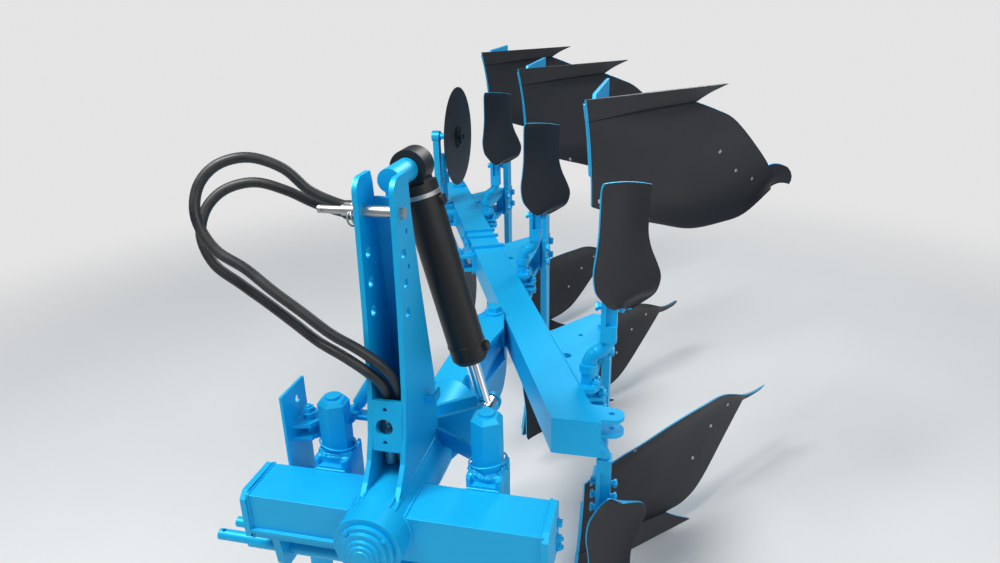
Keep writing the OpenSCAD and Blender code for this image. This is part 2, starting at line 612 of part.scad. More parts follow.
// The frog's front: the back of the share row by row, then the back of the mouldboard
frog_face = function (s, w)
    let (row = 1 + round(w * (frog_last - 1)), across = s * frog_cols / board_cols)
    row <= share_rows
        ? share_face(across, row / share_rows) + (share_t + seat) * face_back
        : board_face(across, (row - share_rows - 1) / board_rows) + (board_t + seat) * face_back;
module frog() {
    sheet(frog_face, frog_cols, frog_last - 1, 12 * face_back);
    intersection() {
        sheet(frog_face, frog_cols, frog_last - 1, 300 * face_back);
        union() {
            box([12, 60, 40], [leg_dx + leg_t / 2, leg_dy + leg_w / 2, 150]);
            box([leg_dx - 14, 60, 120], [leg_dx + leg_t / 2, leg_dy, 300]);
        }
    }
}
module leg_1() leg(0);
module leg_2() leg(1);
module leg_3() leg(2);

// A body is drawn from its sole up, as a lower body; an upper body is its mirror in the axis plane
module body_side(upper) mirror([0, 0, upper ? 1 : 0]) translate([0, 0, -sole_drop]) children();

module mouldboard(i, upper) from_axis() color(black) at_body(i) body_side(upper) {
    sheet(board_face, board_cols, board_rows, board_t * face_back);
    sheet(tail_strap, 4, 2, board_t * face_back);
}
// The strap carries on behind the tail's end edge: it laps the board's back, then turns outwards and narrows
strap_lap = 14;
strap_dir = [0.74, 0.66, 0.1];
tail_strap = function (s, w)
    let (h = mix((board_rows - 2) / board_rows, 1, mix(w, mix(0.12, 0.8, w), s)), edge = board_face(1, h),
        out = unit(edge - board_face(1 - 1 / board_cols, h)), reach = mix(-strap_lap, strap_len - 14 * pow(2 * w - 1, 2), s))
    edge + reach * unit(mix(out, strap_dir, s)) + (board_t - 1) * face_back;
module mouldboard_upper_1() mouldboard(0, true);
module mouldboard_upper_2() mouldboard(1, true);
module mouldboard_upper_3() mouldboard(2, true);
module mouldboard_lower_1() mouldboard(0, false);
module mouldboard_lower_2() mouldboard(1, false);
module mouldboard_lower_3() mouldboard(2, false);

module share(i, upper) from_axis() color(black) at_body(i) body_side(upper)
    intersection() {
        sheet(share_face, board_cols, share_rows, share_t * face_back);
        box([-60, -60, 0], [share_reach_x + 200, share_reach_y + 300, 200]);
    }
module share_upper_1() share(0, true);
module share_upper_2() share(1, true);
module share_upper_3() share(2, true);
module share_lower_1() share(0, false);
module share_lower_2() share(1, false);
module share_lower_3() share(2, false);

module landsides() from_axis() color(black) for (i = [0:body_count - 1], upper = [true, false])
    at_body(i) body_side(upper)
        side(0, 12 - seat) polygon([[120, 52], [150, 0], [560, 0], [560, 96], [546, 110], [150, 110]]);

// A skimmer blade in its body's place: s across, w from its rounded inner end to its cutting edge
skim_mid = [149, -200];
// Left and right outline row by row: x as a share of the half width, height as a share of the blade's length
skim_table = [
    [-0.365, 0, 0.13, 0.018], [-0.576, 0.036, 0.48, 0.05], [-0.753, 0.096, 0.835, 0.094], [-0.918, 0.164, 0.976, 0.159],
    [-0.988, 0.247, 1, 0.242], [-1, 0.346, 0.859, 0.346], [-0.93, 0.477, 0.67, 0.464], [-0.87, 0.625, 0.553, 0.594],
    [-0.847, 0.789, 0.553, 0.763], [-0.824, 0.945, 0.576, 0.906], [-0.753, 1, 0.6, 0.953]
];
skim_face = function (s, w)
    let (row = skim_table[round(w * skim_rows)], x = mix(row[0], row[2], s) * skim_half_w,
        curl = pow(1 - w, 3))
    [
        skim_mid[0] + x,
        skim_mid[1] + 0.72 * x - 40 * curl * max(0, s - 0.2) + 26 * (1 - pow(2 * s - 1, 2)) * (0.3 + 0.7 * w) - 34 * w * w,
        mix(skim_inner_z, skim_outer_z, mix(row[1], row[3], s))
    ];
skim_back = [-0.6, 0.8, 0];
skim_t = 8;
skim_cols = 8;
skim_rows = 10;
module skimmer_blades(i) from_axis() color(black) at_body(i) for (m = [0, 1]) mirror([0, 0, m])
    sheet(skim_face, skim_cols, skim_rows, skim_t * skim_back);
module skimmer_blades_1() skimmer_blades(0);
module skimmer_blades_2() skimmer_blades(1);
module skimmer_blades_3() skimmer_blades(2);

bend_r = 55;
seat_rows = [4, 8];
stalk_low_z = 112;
bend_rise = 2 * bend_r * sin(60);
module skimmer_stalk(i) from_axis() color(paint) at_body(i) {
    // The foot goes right through between both stalks and is clamped to the console's front edge
    translate([skim_foot_x, skim_dy, 8 - stalk_low_z]) cylinder(r = stalk_r, h = 2 * stalk_low_z - 16);
    for (z = [-12, 12]) translate([skim_foot_x, skim_dy, z]) jaw();
    for (m = [0, 1]) mirror([0, 0, m]) {
        translate([skim_foot_x, skim_dy, stalk_low_z - 18]) cylinder(r = 27, h = 26);
        // Two bends with a sleeve between them set the stalk over to the right
        translate([skim_foot_x + bend_r / 2, skim_dy, stalk_low_z + bend_rise / 2])
            rotate([0, 30, 0]) cylinder(r = stalk_r + 1.2, h = 10, center = true);
        translate([skim_foot_x + bend_r, skim_dy, stalk_low_z]) bend(stalk_r, bend_r, 120, 60);
        translate([skim_foot_x, skim_dy, stalk_low_z + bend_rise]) bend(stalk_r, bend_r, -60, 60);
        box([skim_dx - 22, skim_dy - 24, stalk_low_z + bend_rise - 8], [skim_dx - 8, skim_dy + 24, 440]);
        box([skim_dx - 22, skim_dy - 24, stalk_low_z + bend_rise - 8], [skim_dx + 22, skim_dy + 24, 250]);
        box([skim_dx - 22, skim_dy - 10, 240], [skim_dx + 22, skim_dy + 24, 470]);
        for (z = [300, 350, 400]) translate([0, skim_dy + 7, z]) bar_x(9, skim_dx - 32, skim_dx + 32);
        // Seat behind the blade
        intersection() {
            sheet(function (s, w) skim_face(s, mix(seat_rows[0], seat_rows[1], w) / skim_rows)
                + (skim_t + seat) * skim_back, skim_cols, seat_rows[1] - seat_rows[0], 150 * skim_back);
            box([skim_dx - 22, skim_dy - 120, 400], [skim_dx + 60, skim_dy + 10, 500]);
        }
    }
}
module jaw() plan(-6, 6) difference() {
    union() {
        circle(r = jaw_r);
        polygon([[0, -jaw_r], [52, -20], [52, 20], [0, jaw_r]]);
    }
    circle(r = stalk_r - 1);
}
module skimmer_stalk_1() skimmer_stalk(0);
module skimmer_stalk_2() skimmer_stalk(1);
module skimmer_stalk_3() skimmer_stalk(2);

disc_x = -500;
disc_y = 2350;
arm_x = -620;
post_across = -46;
post_along = 2295;
post_x = beam_x + post_across * cos(beam_angle) - post_along * sin(beam_angle);
post_y = beam_y + post_across * sin(beam_angle) + post_along * cos(beam_angle);
module coulter_arm() from_axis() color(paint) {
    // Post with its clamp on the beam's left side
    translate([post_x, post_y, -330]) cylinder(r = 22, h = 660);
    translate([post_x, post_y, -62]) cylinder(r = 38, h = 124);
    on_beam() box([post_across, post_along - 50, -48], [-seat, post_along + 50, 48]);
    for (m = [0, 1]) mirror([0, 0, m]) {
        // Cranked arm: a clamp on the post, a lever forward and an upright to the disc's stub shaft
        translate([post_x, post_y, 170]) cylinder(r = 34, h = 56);
        plan(182, 214) polygon([[arm_x - 18, disc_y], [arm_x + 18, disc_y], [post_x + 20, post_y], [post_x - 20, post_y]]);
        box([arm_x - 16, disc_y - 18, 182], [arm_x + 16, disc_y + 18, disc_z]);
        translate([0, disc_y, disc_z]) bar_x(28, arm_x - 20, arm_x + 20);
        translate([0, disc_y, disc_z]) bar_x(15, arm_x, disc_x + 19);
    }
}
module disc(z) from_axis() color(black) translate([disc_x, disc_y, z]) difference() {
    union() {
        bar_x(disc_d / 2, -2.5, 2.5);
        bar_x(38, -60, 26);
        bar_x(62, -9, 9);
    }
    bar_x(15 + run, -61, 20);
}
module disc_upper() disc(disc_z);
module disc_lower() disc(-disc_z);

// A hose is swept with a ring at each step of a smooth curve through its points
function curve_points(p, steps) =
    [for (k = [0:len(p) - 2]) for (j = [0:steps - 1]) curve_at(p, k, j / steps), p[len(p) - 1]];
function unit(v) = v / norm(v);
module hose(route, d) {
    sides = 10;
    path = curve_points(route, 2);
    last = len(path) - 1;
    rings = [
        for (k = [0:last])
            let (t = unit(path[min(k + 1, last)] - path[max(k - 1, 0)]), u = unit(cross(t, [0, 1, 0.15])), v = cross(t, u))
            for (a = [0:sides - 1]) path[k] + d / 2 * (cos(a * 360 / sides) * u + sin(a * 360 / sides) * v)
    ];
    walls = [
        for (k = [0:last - 1]) for (a = [0:sides - 1])
            each split([k * sides + a, (k + 1) * sides + a, (k + 1) * sides + (a + 1) % sides, k * sides + (a + 1) % sides])
    ];
    ends = [[for (a = [0:sides - 1]) a], [for (a = [0:sides - 1]) last * sides + sides - 1 - a]];
    polyhedron(rings, concat(walls, ends), convexity = 8);
}
hose_front_route = [
    [-72.3, 97, 72], [-107, 96.3, 73.2], [-146, 91, 83], [-201, 73, 115], [-247, 53, 168], [-309, 22, 198],
    [-367, -14, 188], [-401, -47, 145], [-401, -71, 80], [-361, -80, 15], [-295, -77, -28],
    [-232, -81, -75], [-168, -81, -121], [-107, -79, -168], [-46, -68, -209], [1, -52, -258],
    [19, -30, -315], [17.2, -19.4, -378], [17, -18, -440]
];
hose_rear_route = [
    [-72.3, 121, 47], [-107, 120.5, 47.8], [-148, 117, 54], [-206, 102, 76], [-266, 87, 108], [-332, 67, 130],
    [-391, 35, 119], [-425, 1, 81], [-428, -29, 25], [-393, -47, -34], [-332, -50, -76],
    [-268, -55, -116], [-205, -62, -156], [-145, -68, -196], [-85, -76, -222], [-39, -68, -258],
    [-13, -48, -299], [-9, -29, -344], [-15.2, -21, -390], [-16, -20, -440]
];
module hose_front() color(rubber) hose(hose_front_route, hose_d);
module hose_rear() color(rubber) hose(hose_rear_route, hose_d);
module hose_couplings() color(steel) for (end = [hose_front_route, hose_rear_route])
    translate(end[len(end) - 1]) translate([0, 0, -90.4]) cylinder(r = 15, h = 90);

headstock_beam();
mast();
hub_cap();
top_link_pin();
cross_shaft();
tilt_screw_left();
tilt_screw_right();
stand_bracket();
cylinder_bracket();
hose_manifold();
hose_front();
hose_rear();
hose_couplings();
parking_stand();
barrel();
rod();
turnover_arm();
main_beam();
pivot_bolt();
beam_fittings();
stay_rod();
leg_consoles();
leg_1();
leg_2();
leg_3();
mouldboard_upper_1();
mouldboard_upper_2();
mouldboard_upper_3();
mouldboard_lower_1();
mouldboard_lower_2();
mouldboard_lower_3();
share_upper_1();
share_upper_2();
share_upper_3();
share_lower_1();
share_lower_2();
share_lower_3();
landsides();
skimmer_blades_1();
skimmer_blades_2();
skimmer_blades_3();
skimmer_stalk_1();
skimmer_stalk_2();
skimmer_stalk_3();
coulter_arm();
disc_upper();
disc_lower();
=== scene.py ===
"""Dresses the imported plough: camera, hoses, paint, working faces, fasteners, welds and a plain stage."""

import json
import math

import bmesh
import bpy
from mathutils import Matrix, Vector


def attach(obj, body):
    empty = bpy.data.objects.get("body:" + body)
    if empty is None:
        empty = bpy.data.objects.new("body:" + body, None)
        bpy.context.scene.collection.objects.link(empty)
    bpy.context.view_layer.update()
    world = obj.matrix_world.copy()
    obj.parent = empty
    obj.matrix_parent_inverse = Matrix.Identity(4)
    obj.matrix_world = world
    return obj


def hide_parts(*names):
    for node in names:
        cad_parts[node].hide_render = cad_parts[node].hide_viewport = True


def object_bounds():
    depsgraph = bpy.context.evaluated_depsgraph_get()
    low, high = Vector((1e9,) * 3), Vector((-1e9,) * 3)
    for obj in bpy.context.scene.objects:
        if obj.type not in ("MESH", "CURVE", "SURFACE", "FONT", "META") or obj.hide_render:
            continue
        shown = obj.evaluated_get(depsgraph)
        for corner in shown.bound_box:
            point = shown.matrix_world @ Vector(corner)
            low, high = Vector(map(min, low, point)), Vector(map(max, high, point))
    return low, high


bl_info = {
    "name": "Reversible plough",
    "version": (1, 0, 0),
    "blender": (4, 5, 0),
    "location": "3D View > Sidebar > Plough",
    "description": "Paint, working faces, hoses, fasteners and stage for a mounted reversible plough",
    "category": "Object",
}

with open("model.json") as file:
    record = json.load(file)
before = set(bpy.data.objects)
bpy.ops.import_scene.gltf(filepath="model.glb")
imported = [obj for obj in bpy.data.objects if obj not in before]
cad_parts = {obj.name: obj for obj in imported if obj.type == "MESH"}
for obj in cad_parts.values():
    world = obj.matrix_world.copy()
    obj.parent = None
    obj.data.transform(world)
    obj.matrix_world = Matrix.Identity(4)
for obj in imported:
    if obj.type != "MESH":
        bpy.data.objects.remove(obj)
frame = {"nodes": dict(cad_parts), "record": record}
CAD_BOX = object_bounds()
NODES = frame["nodes"]
GROUND = CAD_BOX[0].z

# The row frame's origin, the mast's top link hole, in millimetres from the turnover axis
PIN_Y, HOLE_Z = 90.0, 614.0
TURNS = 2 * math.pi


def hub(x, y, z):
    """A point given in millimetres from the turnover axis, in the row frame in metres."""
    return Vector((x, y - PIN_Y, z - HOLE_Z)) / 1000


def row(x, y, z):
    """A point given in millimetres in the row frame, in metres."""
    return Vector((x, y, z)) / 1000


# ---- Settings that a user would change

class PaintSettings(bpy.types.PropertyGroup):
    """Colours and gloss of the finishes made here. They show only where the frame brings no material."""

    blue: bpy.props.FloatVectorProperty(
        name="Frame blue", description="Colour of the painted frame", subtype="COLOR", size=3, min=0, max=1,
        default=(0.0, 0.275, 0.80))
    black: bpy.props.FloatVectorProperty(
        name="Working face black", description="Colour of the mouldboards, shares and skimmers",
        subtype="COLOR", size=3, min=0, max=1, default=(0.007, 0.009, 0.015))
    gloss: bpy.props.FloatProperty(
        name="Paint roughness", description="Roughness of the fresh paint", min=0, max=1, default=0.3,
        subtype="FACTOR")
    peel: bpy.props.FloatProperty(
        name="Orange peel", description="Depth of the paint's fine waves", min=0, max=1, default=0.12,
        subtype="FACTOR")


class HoseSettings(bpy.types.PropertyGroup):
    """Hydraulic hoses."""

    diameter: bpy.props.FloatProperty(
        name="Hose diameter", description="Outside diameter of the long hoses", default=0.024, min=0.01,
        max=0.05, unit="LENGTH")
    sides: bpy.props.IntProperty(
        name="Sides", description="Faces round a hose", default=20, min=8, max=48)
    steps: bpy.props.IntProperty(
        name="Steps", description="Rings between two route points", default=6, min=2, max=12)


class StageSettings(bpy.types.PropertyGroup):
    """Camera, floor and light."""

    lens: bpy.props.FloatProperty(
        name="Lens", description="Focal length on a sensor 36 mm wide, in millimetres", default=26.316,
        min=10, max=200)
    yaw: bpy.props.FloatProperty(
        name="Yaw", description="Camera's turn away from the plough's length", default=math.radians(-13.8),
        subtype="ANGLE")
    pitch: bpy.props.FloatProperty(
        name="Pitch", description="Camera's tilt below the horizon", default=math.radians(21.5),
        subtype="ANGLE")
    roll: bpy.props.FloatProperty(
        name="Roll", description="Camera's roll", default=math.radians(-1.3), subtype="ANGLE")
    floor: bpy.props.FloatVectorProperty(
        name="Floor colour", description="Colour of the floor", subtype="COLOR", size=3, min=0, max=1,
        default=(0.66, 0.65, 0.63))
    backdrop: bpy.props.FloatVectorProperty(
        name="Backdrop colour", description="Colour the floor runs into", subtype="COLOR", size=3, min=0,
        max=1, default=(0.78, 0.78, 0.78))
    sky: bpy.props.FloatProperty(
        name="Sky strength", description="Strength of the even light from all round", default=0.27, min=0,
        max=2)
    lamp: bpy.props.FloatProperty(
        name="Lamp strength", description="Power of the key lamp", default=310, min=0, unit="POWER")


# ---- Finishes

class Finish:
    """A node material, built socket by socket."""

    def __init__(self, name):
        self.material = bpy.data.materials.new(name)
        self.material.use_nodes = True
        self.tree = self.material.node_tree
        self.tree.nodes.clear()
        self.output, self.shader = self.node("OutputMaterial"), self.node("BsdfPrincipled")
        self.join(self.shader, "BSDF", self.output, "Surface")
        self.where = self.node("TexCoord")

    def node(self, kind):
        """A new shader node."""
        return self.tree.nodes.new("ShaderNode" + kind)

    def join(self, source, out, target, into):
        """Links a socket of one node to a socket of another."""
        self.tree.links.new(source.outputs[out], target.inputs[into])

    def noise(self, scale, detail=3.0, rough=0.5, stretch=(1, 1, 1)):
        """Noise on Object coordinates, in waves per metre."""
        mapping = self.node("Mapping")
        mapping.inputs["Scale"].default_value = stretch
        self.join(self.where, "Object", mapping, "Vector")
        node = self.node("TexNoise")
        for socket, value in (("Scale", scale), ("Detail", detail), ("Roughness", rough)):
            node.inputs[socket].default_value = value
        self.join(mapping, "Vector", node, "Vector")
        return node

    def ramp(self, noise, *stops):
        """Colour stops (position, colour) over a noise."""
        node = self.node("ValToRGB")
        self.join(noise, "Fac", node, "Fac")
        line = node.color_ramp
        while len(line.elements) < len(stops):
            line.elements.new(0.5)
        for element, (place, colour) in zip(line.elements, stops):
            element.position = place
            element.color = (*colour, 1)
        return node

    def colour(self, noise, *stops):
        """The base colour by a noise, from (position, colour) stops."""
        self.join(self.ramp(noise, *stops), "Color", self.shader, "Base Color")

    def rough(self, noise, *limits):
        """The roughness by a noise, spread as span spreads it."""
        self.join(self.span(noise, "Fac", *limits), "Result", self.shader, "Roughness")

    def span(self, source, out, low, high, lowest, highest):
        """A value from low..high spread over lowest..highest."""
        node = self.node("MapRange")
        self.join(source, out, node, "Value")
        for socket, value in zip(("From Min", "From Max", "To Min", "To Max"), (low, high, lowest, highest)):
            node.inputs[socket].default_value = value
        return node

    def tint(self, factor, out, below, colour):
        """The base colour: a ramp's, mixed with another by a factor."""
        node = self.node("Mix")
        node.data_type = "RGBA"
        self.join(factor, out, node, 0)
        self.join(below, "Color", node, 6)
        node.inputs[7].default_value = (*colour, 1)
        self.join(node, 2, self.shader, "Base Color")

    def product(self, first, out, second, its_out):
        """One value times another."""
        node = self.node("Math")
        node.operation = "MULTIPLY"
        self.join(first, out, node, 0)
        self.join(second, its_out, node, 1)
        return node

    def bump(self, strength, *layers):
        """Bump from (noise, depth in metres) layers, one on top of the other."""
        below = None
        for noise, depth in layers:
            bump = self.node("Bump")
            bump.inputs["Strength"].default_value = strength
            bump.inputs["Distance"].default_value = depth
            self.join(noise, "Fac", bump, "Height")
            if below is not None:
                self.join(below, "Normal", bump, "Normal")
            below = bump
        self.join(below, "Normal", self.shader, "Normal")

    def set(self, **sockets):
        """Constants on the shader's sockets; an underscore stands for a space."""
        for name, value in sockets.items():
            self.shader.inputs[name.replace("_", " ")].default_value = value


def shade(colour, by):
    """A colour made darker or lighter."""
    return tuple(min(1.0, c * by) for c in colour)


# Colours that the finishes mix in: dust on blue, rubbed black, steel with its stain, and chrome
DUSTY_BLUE, RUBBED_BLACK = (0.12, 0.36, 0.62), (0.035, 0.032, 0.035)
STEEL, STEEL_STAIN, CHROME = (0.42, 0.40, 0.38), (0.16, 0.105, 0.075), (0.62, 0.62, 0.64)


def frame_paint(name, settings):
    """Thick fresh blue paint: fine orange peel, slow waves, and a breath of dust where it lies level."""
    f = Finish(name)
    slow = f.noise(3.1, 2, 0.5)
    tone = f.ramp(slow, (0.3, shade(settings.blue, 0.88)), (0.7, shade(settings.blue, 1.08)))
    split = f.node("SeparateXYZ")
    f.join(f.node("NewGeometry"), "Normal", split, "Vector")
    level = f.span(split, "Z", 0.55, 1.0, 0.0, 0.12)
    grit = f.noise(38, 5, 0.65)
    spots = f.span(grit, "Fac", 0.42, 0.72, 0.0, 1.0)
    f.tint(f.product(level, "Result", spots, "Result"), "Value", tone, DUSTY_BLUE)
    f.rough(grit, 0.3, 0.7, settings.gloss - 0.06, settings.gloss + 0.1)
    peel = f.noise(170, 2, 0.4)
    runs = f.noise(22, 2, 0.5, (1, 1, 0.35))
    f.bump(0.5, (runs, 0.0016), (peel, 0.0016 * settings.peel))
    f.set(IOR=1.42, Specular_IOR_Level=0.32, Coat_Weight=0.06, Coat_Roughness=0.15)
    return f.material


def face_paint(name, settings):
    """Glossy black paint on formed steel, with faint rolled streaks and rubbed spots."""
    f = Finish(name)
    slow = f.noise(4.0, 3, 0.55)
    tone = f.ramp(slow, (0.32, shade(settings.black, 0.6)), (0.7, shade(settings.black, 1.2)))
    specks = f.noise(90, 6, 0.7, (1, 1, 0.5))
    rub = f.span(specks, "Fac", 0.70, 0.78, 0.0, 0.5)
    f.tint(rub, "Result", tone, RUBBED_BLACK)
    haze = f.noise(9, 5, 0.6, (1, 0.6, 1.6))
    f.rough(haze, 0.3, 0.72, settings.gloss - 0.2, settings.gloss)
    dents = f.noise(6, 2, 0.5)
    peel = f.noise(150, 2, 0.4)
    f.bump(0.4, (dents, 0.004), (peel, 0.0012 * settings.peel))
    f.set(IOR=1.62, Coat_Weight=0.35, Coat_Roughness=0.1)
    return f.material


def metal(name, colour, rough, streak=(1, 1, 1), stain=None):
    """Bare metal with fine drawn streaks, and a stain in patches where one is given."""
    f = Finish(name)
    fine = f.noise(240, 3, 0.5, streak)
    patches = f.noise(26, 4, 0.6)
    stops = [(0.3, shade(colour, 0.82)), (0.7, shade(colour, 1.12))]
    if stain:
        f.tint(f.span(patches, "Fac", 0.42, 0.62, 0.0, 0.85), "Result", f.ramp(fine, *stops), stain)
    else:
        f.colour(fine, *stops)
    f.rough(patches, 0.3, 0.7, rough - 0.06, rough + 0.1)
    f.bump(0.4, (fine, 0.0002))
    f.set(Metallic=1.0)
    return f.material


def barrel_paint(name):
    """Flat black paint on the cylinder, with a dusty bloom."""
    f = Finish(name)
    bloom = f.noise(11, 4, 0.6)
    f.colour(bloom, (0.35, (0.010, 0.010, 0.011)), (0.75, (0.026, 0.025, 0.026)))
    f.rough(bloom, 0.3, 0.7, 0.42, 0.6)
    f.bump(0.5, (f.noise(260, 2, 0.5), 0.0004))
    return f.material


def hose_rubber(name):
    """Black rubber cover with a cloth-like print and pale dust."""
    f = Finish(name)
    dust = f.noise(14, 4, 0.6)
    f.colour(dust, (0.35, (0.013, 0.013, 0.014)), (0.8, (0.036, 0.034, 0.033)))
    f.rough(dust, 0.3, 0.7, 0.38, 0.55)
    f.bump(0.5, (f.noise(520, 2, 0.5), 0.0003))
    return f.material


# The finishes by the record's slots, for a frame that brings no materials
FINISHES = {
    "blue_paint": frame_paint,
    "black_paint": face_paint,
    "bare_steel": lambda name, _paint: metal(name, STEEL, 0.38, stain=STEEL_STAIN),
    "cylinder_black": lambda name, _paint: barrel_paint(name),
    "chrome_rod": lambda name, _paint: metal(name, CHROME, 0.16, (1, 1, 0.05)),
    "hose_rubber": lambda name, _paint: hose_rubber(name),
}


def finish(slot_name):
    """The material of a record slot: the frame's own where it has one, or else the finish made here once."""
    found = bpy.data.materials.get(slot_name)
    return found or FINISHES[slot_name](slot_name, bpy.context.scene.plough_paint)


# ---- Shapes

# What counts as no length, and how far apart corners are one, in metres
NEARLY, TOUCHING = 1e-4, 1e-6


def piece(name, mesh_data, material, body, smooth_angle):
    """Turns a bmesh into an object at the origin, with its finish, riding on its body.

    Edges that turn by more than smooth_angle, in degrees, stay sharp.
    """
    data = bpy.data.meshes.new(name)
    mesh_data.to_mesh(data)
    mesh_data.free()
    data.materials.append(material)
    made = bpy.data.objects.new(name, data)
    bpy.context.scene.collection.objects.link(made)
    data.shade_smooth()
    data.set_sharp_from_angle(angle=math.radians(smooth_angle))
    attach(made, body)
    return made


def axes(x, y, z):
    """The turn that takes X, Y and Z to three directions."""
    return Matrix((x, y, z)).transposed().to_4x4()


def frame_of(way):
    """A turn that takes Z to way, with X level."""
    way = Vector(way).normalized()
    side = Vector((0, 0, 1)).cross(way)
    if side.length < NEARLY:
        side = Vector((1, 0, 0)).cross(way)
    side.normalize()
    return axes(side, way.cross(side), way)


def place(at, way):
    """A move that takes the origin to at and Z to way."""
    return Matrix.Translation(at) @ frame_of(way)


def curve_at(points, k, t):
    """A place between points k and k + 1 of a smooth curve, as the solids' curves are drawn."""
    last = len(points) - 1
    a, b, c, d = points[max(k - 1, 0)], points[k], points[k + 1], points[min(k + 2, last)]
    return 0.5 * (2 * b + (c - a) * t + (2 * a - 5 * b + 4 * c - d) * t * t
                  + (3 * b - a - 3 * c + d) * t ** 3)


def along(points, share):
    """A place at a share of the way along the smooth curve through the points."""
    last = len(points) - 1
    k = min(int(share * last), last - 1)
    return curve_at(points, k, share * last - k)


def smooth_route(points, steps):
    """Points of a smooth curve through the route."""
    runs = range(len(points) - 1)
    return [curve_at(points, k, j / steps) for k in runs for j in range(steps)] + [points[-1]]


def sweep(bm, path, radius, sides):
    """A round tube with closed ends along a path. radius is a number or a rule of the share of the way."""
    rings, last = [], len(path) - 1
    side = None
    for k, at in enumerate(path):
        way = (path[min(k + 1, last)] - path[max(k - 1, 0)]).normalized()
        if side is None:
            side = way.orthogonal().normalized()
        side = (side - way * side.dot(way)).normalized()
        turn = Matrix.Translation(at) @ axes(side, way.cross(side), way)
        size = radius(k / last) if callable(radius) else radius
        ring = bmesh.ops.create_circle(bm, segments=sides, radius=size, matrix=turn)
        rings.append(list({e for v in ring["verts"] for e in v.link_edges}))
    for lower, upper in zip(rings, rings[1:]):
        bmesh.ops.bridge_loops(bm, edges=lower + upper)
    for edges in (rings[0], rings[-1]):
        bmesh.ops.holes_fill(bm, edges=edges, sides=0)
    bmesh.ops.recalc_face_normals(bm, faces=bm.faces)
    return bm


def merge_in(bm, part):
    """Adds a finished bmesh to another, and frees it."""
    data = bpy.data.meshes.new("part")
    part.to_mesh(data)
    part.free()
    bm.from_mesh(data)
    bpy.data.meshes.remove(data)


def bevel(bm, edges, width, segments=2, clamp=False):
    """Rounds the edges given, by a width in metres."""
    bmesh.ops.bevel(bm, geom=edges, offset=width, offset_type="OFFSET", segments=segments, profile=0.5,
                    affect="EDGES", material=-1, clamp_overlap=clamp)


def block(size, rim, segments=2):
    """A block with rounded edges, in metres."""
    made = bmesh.new()
    bmesh.ops.create_cube(made, size=1)
    bmesh.ops.scale(made, vec=size, verts=made.verts)
    bevel(made, list(made.edges), rim, segments)
    return made


# ---- The bodies' working faces, by the same edges as the solids. Sizes are in millimetres.

TIP_X, TIP_Y, SOLE_DROP = 356.0, 764.0, 855.0
BODY_COUNT, BODY_PITCH, BEAM_ANGLE = 3, 950.0, math.radians(23.5)
SIDES = (1, -1)
SHIN_LEAN, SHIN_SWEEP, SHIN_BULGE = 12, 103, 160
SHIN_H, CREST_H, TAIL_H, STRAP_LEN = 338.0, 483.0, 417.0, 120.0
SHARE_REACH, BOARD_REACH = (405.0, 420.0), (606.0, 728.0)
BOARD_T, SHARE_T, SKIM_T = 9.0, 12.0, 8.0
SEAM_W, SEAM_RISE = 0.2, 1.5
# Steps from a face to its plate's back
FACE_BACK, SKIM_BACK = Vector((-0.60, 0.76, -0.25)), Vector((-0.6, 0.8, 0))
# A rounded rim's width in metres
BOARD_RIM, SHARE_RIM, SKIM_RIM = 0.0016, 0.0012, 0.0014
SKIM_MID, SKIM_HALF_W, SKIM_INNER_Z, SKIM_OUTER_Z = (149.0, -200.0), 86.0, 318.0, 688.0
# Places on the mouldboard's outline, as shares of its reach to the side, its reach back and its height
TOP_TABLE = ((0.18, 0.26, 0.81), (0.35, 0.37, 0.895), (0.52, 0.5, 0.976), (0.69, 0.67, 1), (0.84, 0.83, 0.99))
REAR_TABLE = ((0.622, 0.577, 0.174), (0.726, 0.7, 0.264), (0.873, 0.934, 0.497), (0.997, 1.104, 0.735))
# Left and right outline of a skimmer blade row by row, from its inner end to its cutting edge
SKIM_TABLE = (
    (-0.365, 0, 0.13, 0.018), (-0.576, 0.036, 0.48, 0.05), (-0.753, 0.096, 0.835, 0.094),
    (-0.918, 0.164, 0.976, 0.159), (-0.988, 0.247, 1, 0.242), (-1, 0.346, 0.859, 0.346),
    (-0.93, 0.477, 0.67, 0.464), (-0.87, 0.625, 0.553, 0.594), (-0.847, 0.789, 0.553, 0.763),
    (-0.824, 0.945, 0.576, 0.906), (-0.753, 1, 0.6, 0.953))


def at_body(i, x, y, z):
    """A point of a body's place, with z from the turnover axis."""
    step = i * BODY_PITCH
    return (TIP_X - step * math.sin(BEAM_ANGLE) + x, TIP_Y + step * math.cos(BEAM_ANGLE) + y, z)


def from_sole(point, upper):
    """A place drawn up from a body's sole, with z from the turnover axis."""
    return (point[0], point[1], SOLE_DROP - point[2] if upper else point[2] - SOLE_DROP)


def body_point(i, point, upper):
    """A point of a body's own place, drawn up from its sole, in the row frame."""
    return hub(*at_body(i, *from_sole(point, upper)))


def shin(w):
    """The mouldboard's front edge at a share of its height."""
    return Vector((SHIN_LEAN * w, SHIN_SWEEP * w + SHIN_BULGE * w * (1 - w), SHIN_H * w))


def on_board(entry):
    """A place of the outline tables in the body's own place."""
    return Vector((entry[0] * BOARD_REACH[0], entry[1] * BOARD_REACH[1], entry[2] * CREST_H))


